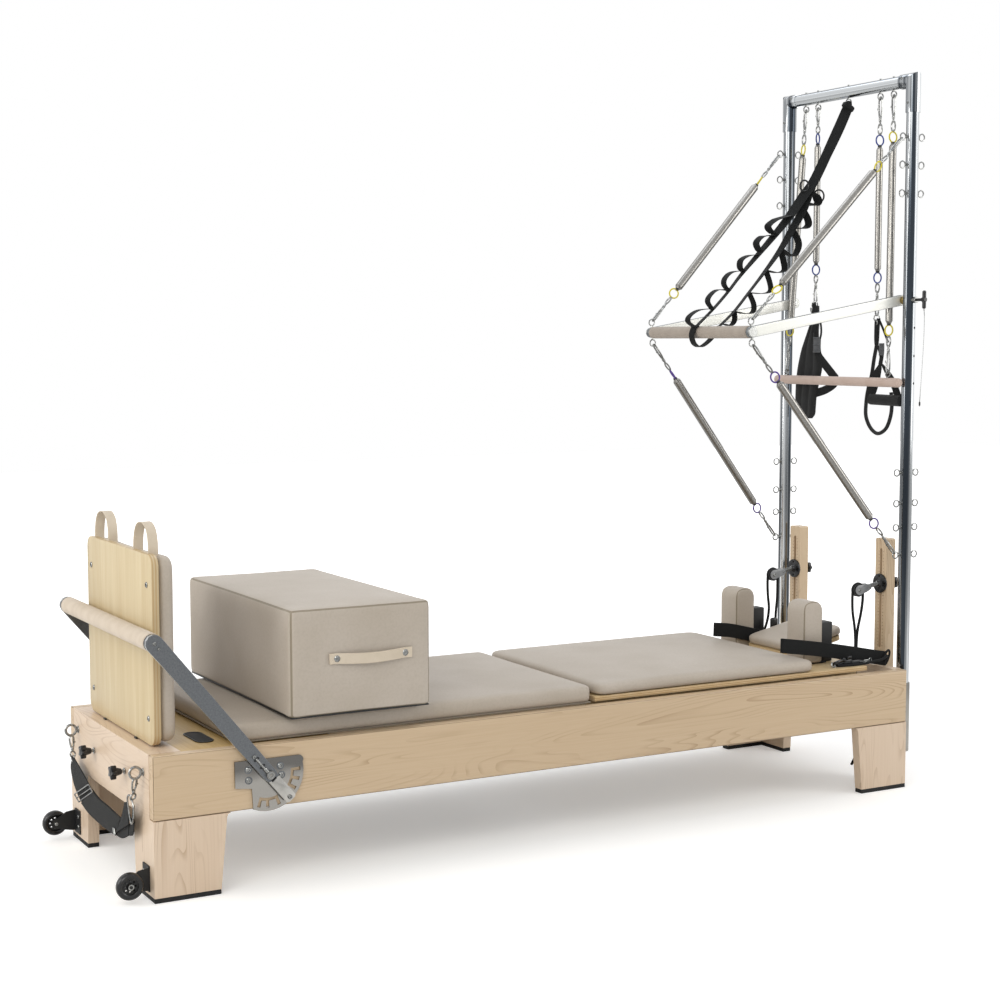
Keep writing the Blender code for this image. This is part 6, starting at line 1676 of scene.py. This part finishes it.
def on_arm(distance, across, y):
    """A point beside the footbar's arm, from its pivot towards the bar and square to that."""
    along = (FOOTBAR_AXIS - PIVOT).normalized()
    up = Vector((-along.z, 0, along.x))
    spot = PIVOT + along * distance + up * across
    return Vector((spot.x, y, spot.z))


def add_footbar():
    body = "footbar"
    low, high = Vector((0, -0.3515, 0)), Vector((0, 0.3515, 0))
    grip = make(
        "footbar_foam", rod(FOOTBAR_AXIS + low, FOOTBAR_AXIS + high, 0.0225, 40, 0.003), beige_foam, body,
        ("footbar_grip",),
    )
    shade_edges(nodes["footbar_frame"], pale_edge)
    collars = []
    bright = []
    dark = []
    tongues = []
    for _, side in SIDES:
        out = Vector((0, side, 0))
        y = side * (ARM_FACE + 0.0002)
        collars.append(cross_rod(FOOTBAR_AXIS.x, FOOTBAR_AXIS.z, side, 0.3517, 0.3598, 0.0215, 32, 0.001))
        for distance, across, radius, height in (
            (0.4515, 0.0, 0.005, 0.0024), (0.435, 0.0, 0.0042, 0.0022), (0.064, 0.001, 0.0056, 0.0034),
            (0.0, 0.0, 0.0112, 0.0075),
        ):
            bright.append(screw(radius, height, on_arm(distance, across, y), out))
        beside = y + side * 0.002
        bright.append(rod(on_arm(0.058, 0.001, beside), on_arm(0.012, 0.001, beside), 0.003, 14, 0.0006))
        bright.append(rod(on_arm(0.024, 0.001, beside), on_arm(0.01, 0.001, beside), 0.0052, 16, 0.001))
        bright.append(screw(0.0062, 0.004, on_arm(-0.08, 0, side * (ARM_FACE + 0.0016)), out))
        beside = y + side * 0.0014
        for distance in (0.0545, 0.03, -0.0165):
            dark.append(rod(on_arm(distance, -0.0065, beside), on_arm(distance, 0.0085, beside), 0.0022, 10))
        outline = [(spot.x, spot.z) for spot in (on_arm(distance, across, 0) for distance, across in TONGUE)]
        plate = placed(flat_plate([outline], 0.0015, 0.0005), TO_SIDE_FACE)
        tongues.append(placed(plate, Matrix.Translation((0, y + (0.0015 if side > 0 else 0), 0))))
    make("footbar_collars", together(*collars), gloss_black, body)
    make("footbar_screws", together(*bright), plated, body)
    make("footbar_plunger_clips", together(*dark), black_steel, body)
    make("footbar_tongues", together(*tongues), mirror_plate, body)


def add_gear_plate_fittings():
    washers = []
    screws = []
    for _, side in SIDES:
        out = Vector((0, side, 0))
        for x, z in ((-0.935, 0.301), (-0.934, 0.2745), (-0.851, 0.302), (-0.848, 0.279)):
            spot = Vector((x, side * 0.3548, z))
            washers.append(turned_on(spot, out, [(0, 0), (0.0098, 0), (0.0098, 0.0006), (0, 0.0006)], 28))
            screws.append(screw(0.0072, 0.0026, spot, out))
    make("gear_plate_washers", together(*washers), arm_grey, "frame")
    make("gear_plate_screws", together(*screws), plated, "frame")


add_footbar()
add_gear_plate_fittings()

# Star knobs, casters and pulleys


def star_outline(radius, lobes=5, depth=0.2, steps=60):
    points = []
    for step in range(steps):
        angle = 2 * math.pi * step / steps
        reach = radius * (1 - depth + depth * math.cos(lobes * angle))
        points.append((reach * math.cos(angle), reach * math.sin(angle)))
    return points


def add_star_knobs():
    toward = Vector((-1, 0, 0))
    for side_name, side in SIDES:
        y, z = side * 0.13, 0.28
        knob = placed(flat_plate([star_outline(0.0185)], 0.015, 0.0026, 3), facing((-1.1985, y, z), toward))
        cone = [(0, 0), (0.0072, 0), (0.0088, 0.005), (0.0112, 0.0145), (0, 0.0145)]
        boss = turned_on((-1.1845, y, z), toward, cone, 24)
        cap = turned_on((-1.2133, y, z), toward, [(0, 0), (0.008, 0), (0.007, 0.0012), (0, 0.0016)], 24)
        body = f"{side_name}_star_knob"
        make(f"{side_name}_knob_head", together(knob, boss, cap), gloss_black, body, (body,))
        stud = [
            rod((-1.1865, y, z), (-1.1752, y, z), 0.0042, 18),
            rod((-1.1785, y, z), (-1.1754, y, z), 0.008, 24, 0.0006),
        ]
        make(f"{side_name}_knob_stud", together(*stud), plated, body)


CASTER_PLACE = (-1.23, 0.329, 0.047)


def add_casters():
    tread = [(0.02, -0.0085), (0.0232, -0.0108), (0.0285, -0.0115), (0.0322, -0.0085), (0.0335, -0.004)]
    tread = tread + [(radius, -height) for radius, height in tread[::-1]]
    for side_name, side in SIDES:
        centre = Vector((CASTER_PLACE[0], side * CASTER_PLACE[1], CASTER_PLACE[2]))
        place = facing(centre, ACROSS_Y)
        tyre = placed(spun(tread, 40), place)
        body = f"{side_name}_caster"
        make(
            f"{side_name}_caster_tyre", tyre, gloss_black, body,
            (f"{side_name}_caster_wheel",),
        )
        holes = ring_of_holes(0.0029, 10, 0.0135, 8)
        hub = placed(
            flat_plate([circle_outline(0.0203, 36), *holes], 0.008),
            place @ Matrix.Translation((0, 0, -0.004)),
        )
        make(f"{side_name}_caster_hub", hub, black_plastic, body)
        face = centre + Vector((0, side * 0.0038, 0))
        make(f"{side_name}_caster_bearing", screw(0.0092, 0.009, face, (0, side, 0)), plated, body)
        heads = [screw(0.005, 0.0026, (-1.179, side * 0.28, z), (-1, 0, 0)) for z in (0.041, 0.068)]
        pivot = screw(0.0052, 0.0026, (CASTER_PLACE[0], side * 0.312, CASTER_PLACE[2]), (0, -side, 0))
        make(f"{side_name}_caster_screws", together(*heads, pivot), plated, "frame")


PULLEY_CENTRE = (1.097, 0.59)
PULLEY_Y = 0.21
MOUNT_FACE = 1.1867
MOUNT_Z = 0.605


def add_pulleys():
    toward = Vector((-1, 0, 0))
    for side_name, side in SIDES:
        y = side * PULLEY_Y
        body = f"{side_name}_pulley"
        holes = ring_of_holes(0.003, 12, 0.021, 4)
        disc = placed(
            flat_plate([circle_outline(0.0295, 44), *holes], 0.006, 0.0009),
            facing((MOUNT_FACE, y, MOUNT_Z), toward),
        )
        cone = [(0, 0), (0.0125, 0), (0.0105, 0.005), (0.0078, 0.0075), (0, 0.0075)]
        hub = turned_on((MOUNT_FACE - 0.006, y, MOUNT_Z), toward, cone, 28)
        neck = rod((1.2214, y, MOUNT_Z), (1.235, y, MOUNT_Z), 0.01, 24, 0.0008)
        knob = placed(
            flat_plate([star_outline(0.0185, 6, 0.1)], 0.0115, 0.0024, 3),
            facing((1.2345, y, MOUNT_Z), -toward),
        )
        bolt = rod((MOUNT_FACE - 0.001, y, MOUNT_Z), (1.2225, y, MOUNT_Z), 0.0044, 16)
        make(
            f"{side_name}_pulley_mount_disc", together(disc, hub, neck, knob, bolt), gloss_black, body,
            (f"{side_name}_pulley_mount",),
        )
        wheel = Vector((PULLEY_CENTRE[0], y, PULLEY_CENTRE[1]))
        eye = Vector((MOUNT_FACE - 0.0135, y, MOUNT_Z))
        along = (eye - wheel).normalized()
        up = Vector((-along.z, 0, along.x))
        cheeks = []
        outline = []
        for step in range(11):
            angle = math.radians(90 + 18 * step)
            spot = wheel + along * (0.015 * math.cos(angle)) + up * (0.015 * math.sin(angle))
            outline.append((spot.x, spot.z))
        for distance, across in (
            (0.026, -0.0125), (0.042, -0.0085), (0.046, -0.005), (0.046, 0.005), (0.042, 0.0085),
            (0.026, 0.0125),
        ):
            spot = wheel + along * distance + up * across
            outline.append((spot.x, spot.z))
        for low in (-0.0102, 0.0074):
            cheek = placed(flat_plate([outline], 0.0028, 0.0008), TO_SIDE_FACE)
            cheeks.append(placed(cheek, Matrix.Translation((0, y + low + 0.0028, 0))))
        spine = wheel + along * 0.036
        cheeks.append(rod(spine - ACROSS_Y * 0.008, spine + ACROSS_Y * 0.008, 0.0068, 18, 0.001))
        make(f"{side_name}_pulley_housing", together(*cheeks), clear_housing, body)
        pins = []
        for turn in (-1, 1):
            out = Vector((0, turn, 0))
            pins.append(screw(0.0062, 0.0026, wheel + out * 0.01, out))
            pins.append(screw(0.0036, 0.002, wheel + along * 0.0385 + out * 0.01, out))
        shackle_start = wheel + along * 0.044
        span = (eye - shackle_start).length
        pins.append(
            placed(coil(span + 0.004, 0.0056, 0.0011, 0.0034, 0.006), along_line(shackle_start, eye, 0))
        )
        pins.append(rod(shackle_start - along * 0.002, eye + along * 0.004, 0.0024, 12))
        pins.append(ring(eye + along * 0.001, 0.0062, 0.0017, ACROSS_Y, 8, 20))
        make(f"{side_name}_pulley_shackle", together(*pins), plated, body)
        groove = [
            (0.004, -0.006), (0.0208, -0.006), (0.0208, -0.0048), (0.0155, -0.0022), (0.0155, 0.0022),
            (0.0208, 0.0048), (0.0208, 0.006), (0.004, 0.006),
        ]
        sheave = placed(spun(groove, 36), facing(wheel, ACROSS_Y))
        make(
            f"{side_name}_sheave_wheel", sheave, gloss_black, f"{side_name}_sheave",
            (f"{side_name}_pulley_wheel",),
        )


add_star_knobs()
add_casters()
add_pulleys()

# Small marks and fittings: scale ticks on the risers, sockets under the jump board, the carriage's unhooked
# springs between their keeper bars

tick_brown = moulded("brown printed scale", "7A5C45", "6A4E39", 0.6)


def add_small_fittings():
    ticks = []
    for _, side in SIDES:
        for edge in (0.1985, 0.2185):
            for step in range(29):
                z = 0.412 + 0.0104 * step
                middle = side * (edge if side > 0 else 0.42 - edge)
                long = 0.0016 if step % 5 else 0.003
                ticks.append(block((1.1866, middle - long, z - 0.0007), (1.18715, middle + long, z + 0.0007)))
    make("riser_scales", together(*ticks), tick_brown, "frame")
    sockets = [
        block((-1.1475, side * 0.13 - 0.0085, 0.3585), (-1.1425, side * 0.13 + 0.0085, 0.3632), 0.001)
        for _, side in SIDES
    ]
    make("jump_board_sockets", together(*sockets), black_plastic, "frame")
    coils = []
    ends = []
    start_x, end_x, height = 0.12, 0.708, 0.349
    for number in range(-2, 3):
        start = Vector((start_x + 0.008, number * 0.08, height))
        end = Vector((end_x - 0.008, number * 0.08, height))
        coils.append(placed(coil((end - start).length, 0.0104, 0.0015, 0.0036), along_line(start, end, 0)))
        for x in (start_x, end_x):
            ends.append(ring((x, number * 0.08, height), 0.0072, 0.0016, ACROSS_Y, 8, 16))
    make(
        "carriage_spring_coils", together(*coils), spring_steel, "carriage",
        ("carriage_springs",), 60,
    )
    bars = [rod((x, -0.19, height), (x, 0.19, height), 0.005, 16, 0.0008) for x in (start_x, end_x)]
    for x in (start_x, end_x):
        for side in (-1, 1):
            low, high = sorted((side * 0.176, side * 0.19))
            bars.append(block((x - 0.009, low, 0.345), (x + 0.009, high, 0.3612), 0.001))
    make("carriage_spring_keepers", together(*bars, *ends), plated, "carriage")


add_small_fittings()

# Studio


def add_lamp(name, place, target, size, power, tint):
    data = bpy.data.lights.new(name, "AREA")
    data.shape = "RECTANGLE"
    data.size, data.size_y = size
    data.energy = power
    data.color = linear(tint)[:3]
    lamp = bpy.data.objects.new(name, data)
    aim = (Vector(target) - Vector(place)).to_track_quat("-Z", "Y")
    lamp.matrix_world = Matrix.Translation(place) @ aim.to_matrix().to_4x4()
    scene.collection.objects.link(lamp)


def add_studio():
    add_lamp("key", (-3.2, -2.6, 3.0), (-0.2, 0.0, 0.5), (2.6, 2.0), 62, "FFFDF8")
    add_lamp("foot end", (-4.2, 0.6, 1.8), (-0.6, 0.0, 0.6), (2.0, 2.0), 50, "FFFDFA")
    add_lamp("top", (1.3, 0.5, 4.2), (0.7, 0.0, 0.4), (3.6, 2.6), 47, "F2F7FF")
    add_lamp("side", (3.2, -2.6, 2.0), (0.4, 0.0, 0.8), (1.6, 2.4), 36, "FFFDFA")
    world = bpy.data.worlds.new("studio")
    world.use_nodes = True
    tree = world.node_tree
    shown = tree.nodes["Background"]
    shown.inputs["Color"].default_value = linear("FFFFFF")
    rays = add(tree, "LightPath", {}, {}).outputs
    seen = add(
        tree, "Math", {"operation": "ADD"}, {0: rays["Is Camera Ray"], 1: rays["Is Glossy Ray"]},
    ).outputs[0]
    white = add(
        tree, "Math", {"operation": "ADD", "use_clamp": True}, {0: seen, 1: rays["Is Transmission Ray"]},
    ).outputs[0]
    level = add(tree, "MapRange", {}, {"Value": white, 3: 0.56, 4: 1.0}).outputs[0]
    tree.links.new(level, shown.inputs["Strength"])
    scene.world = world
    floor_shape = bmesh.new()
    bmesh.ops.create_grid(floor_shape, x_segments=1, y_segments=1, size=14)
    mesh = bpy.data.meshes.new("floor")
    floor_shape.to_mesh(mesh)
    floor_shape.free()
    floor = bpy.data.objects.new("floor", mesh)
    scene.collection.objects.link(floor)
    look = Finish("pale studio floor", {"Roughness": 0.9, "Emission Color": linear("FFFFFF")})
    distance = add(look.tree, "VectorMath", {"operation": "LENGTH"}, {0: look.place}).outputs["Value"]
    fade = look.ramp(distance, 1.2, 4.5, 0.28, 0.9, "SMOOTHSTEP")
    seen = add(look.tree, "LightPath", {}, {}).outputs["Is Camera Ray"]
    look.tree.links.new(look.maths("MULTIPLY", fade, seen), look.shader.inputs["Emission Strength"])
    mesh.materials.append(look.finished(look.mix(look.noise(look.place, 3.0, 2.0), "F4F4F3", "F1F1F0")))


add_studio()
scene.view_settings.view_transform = "Standard"
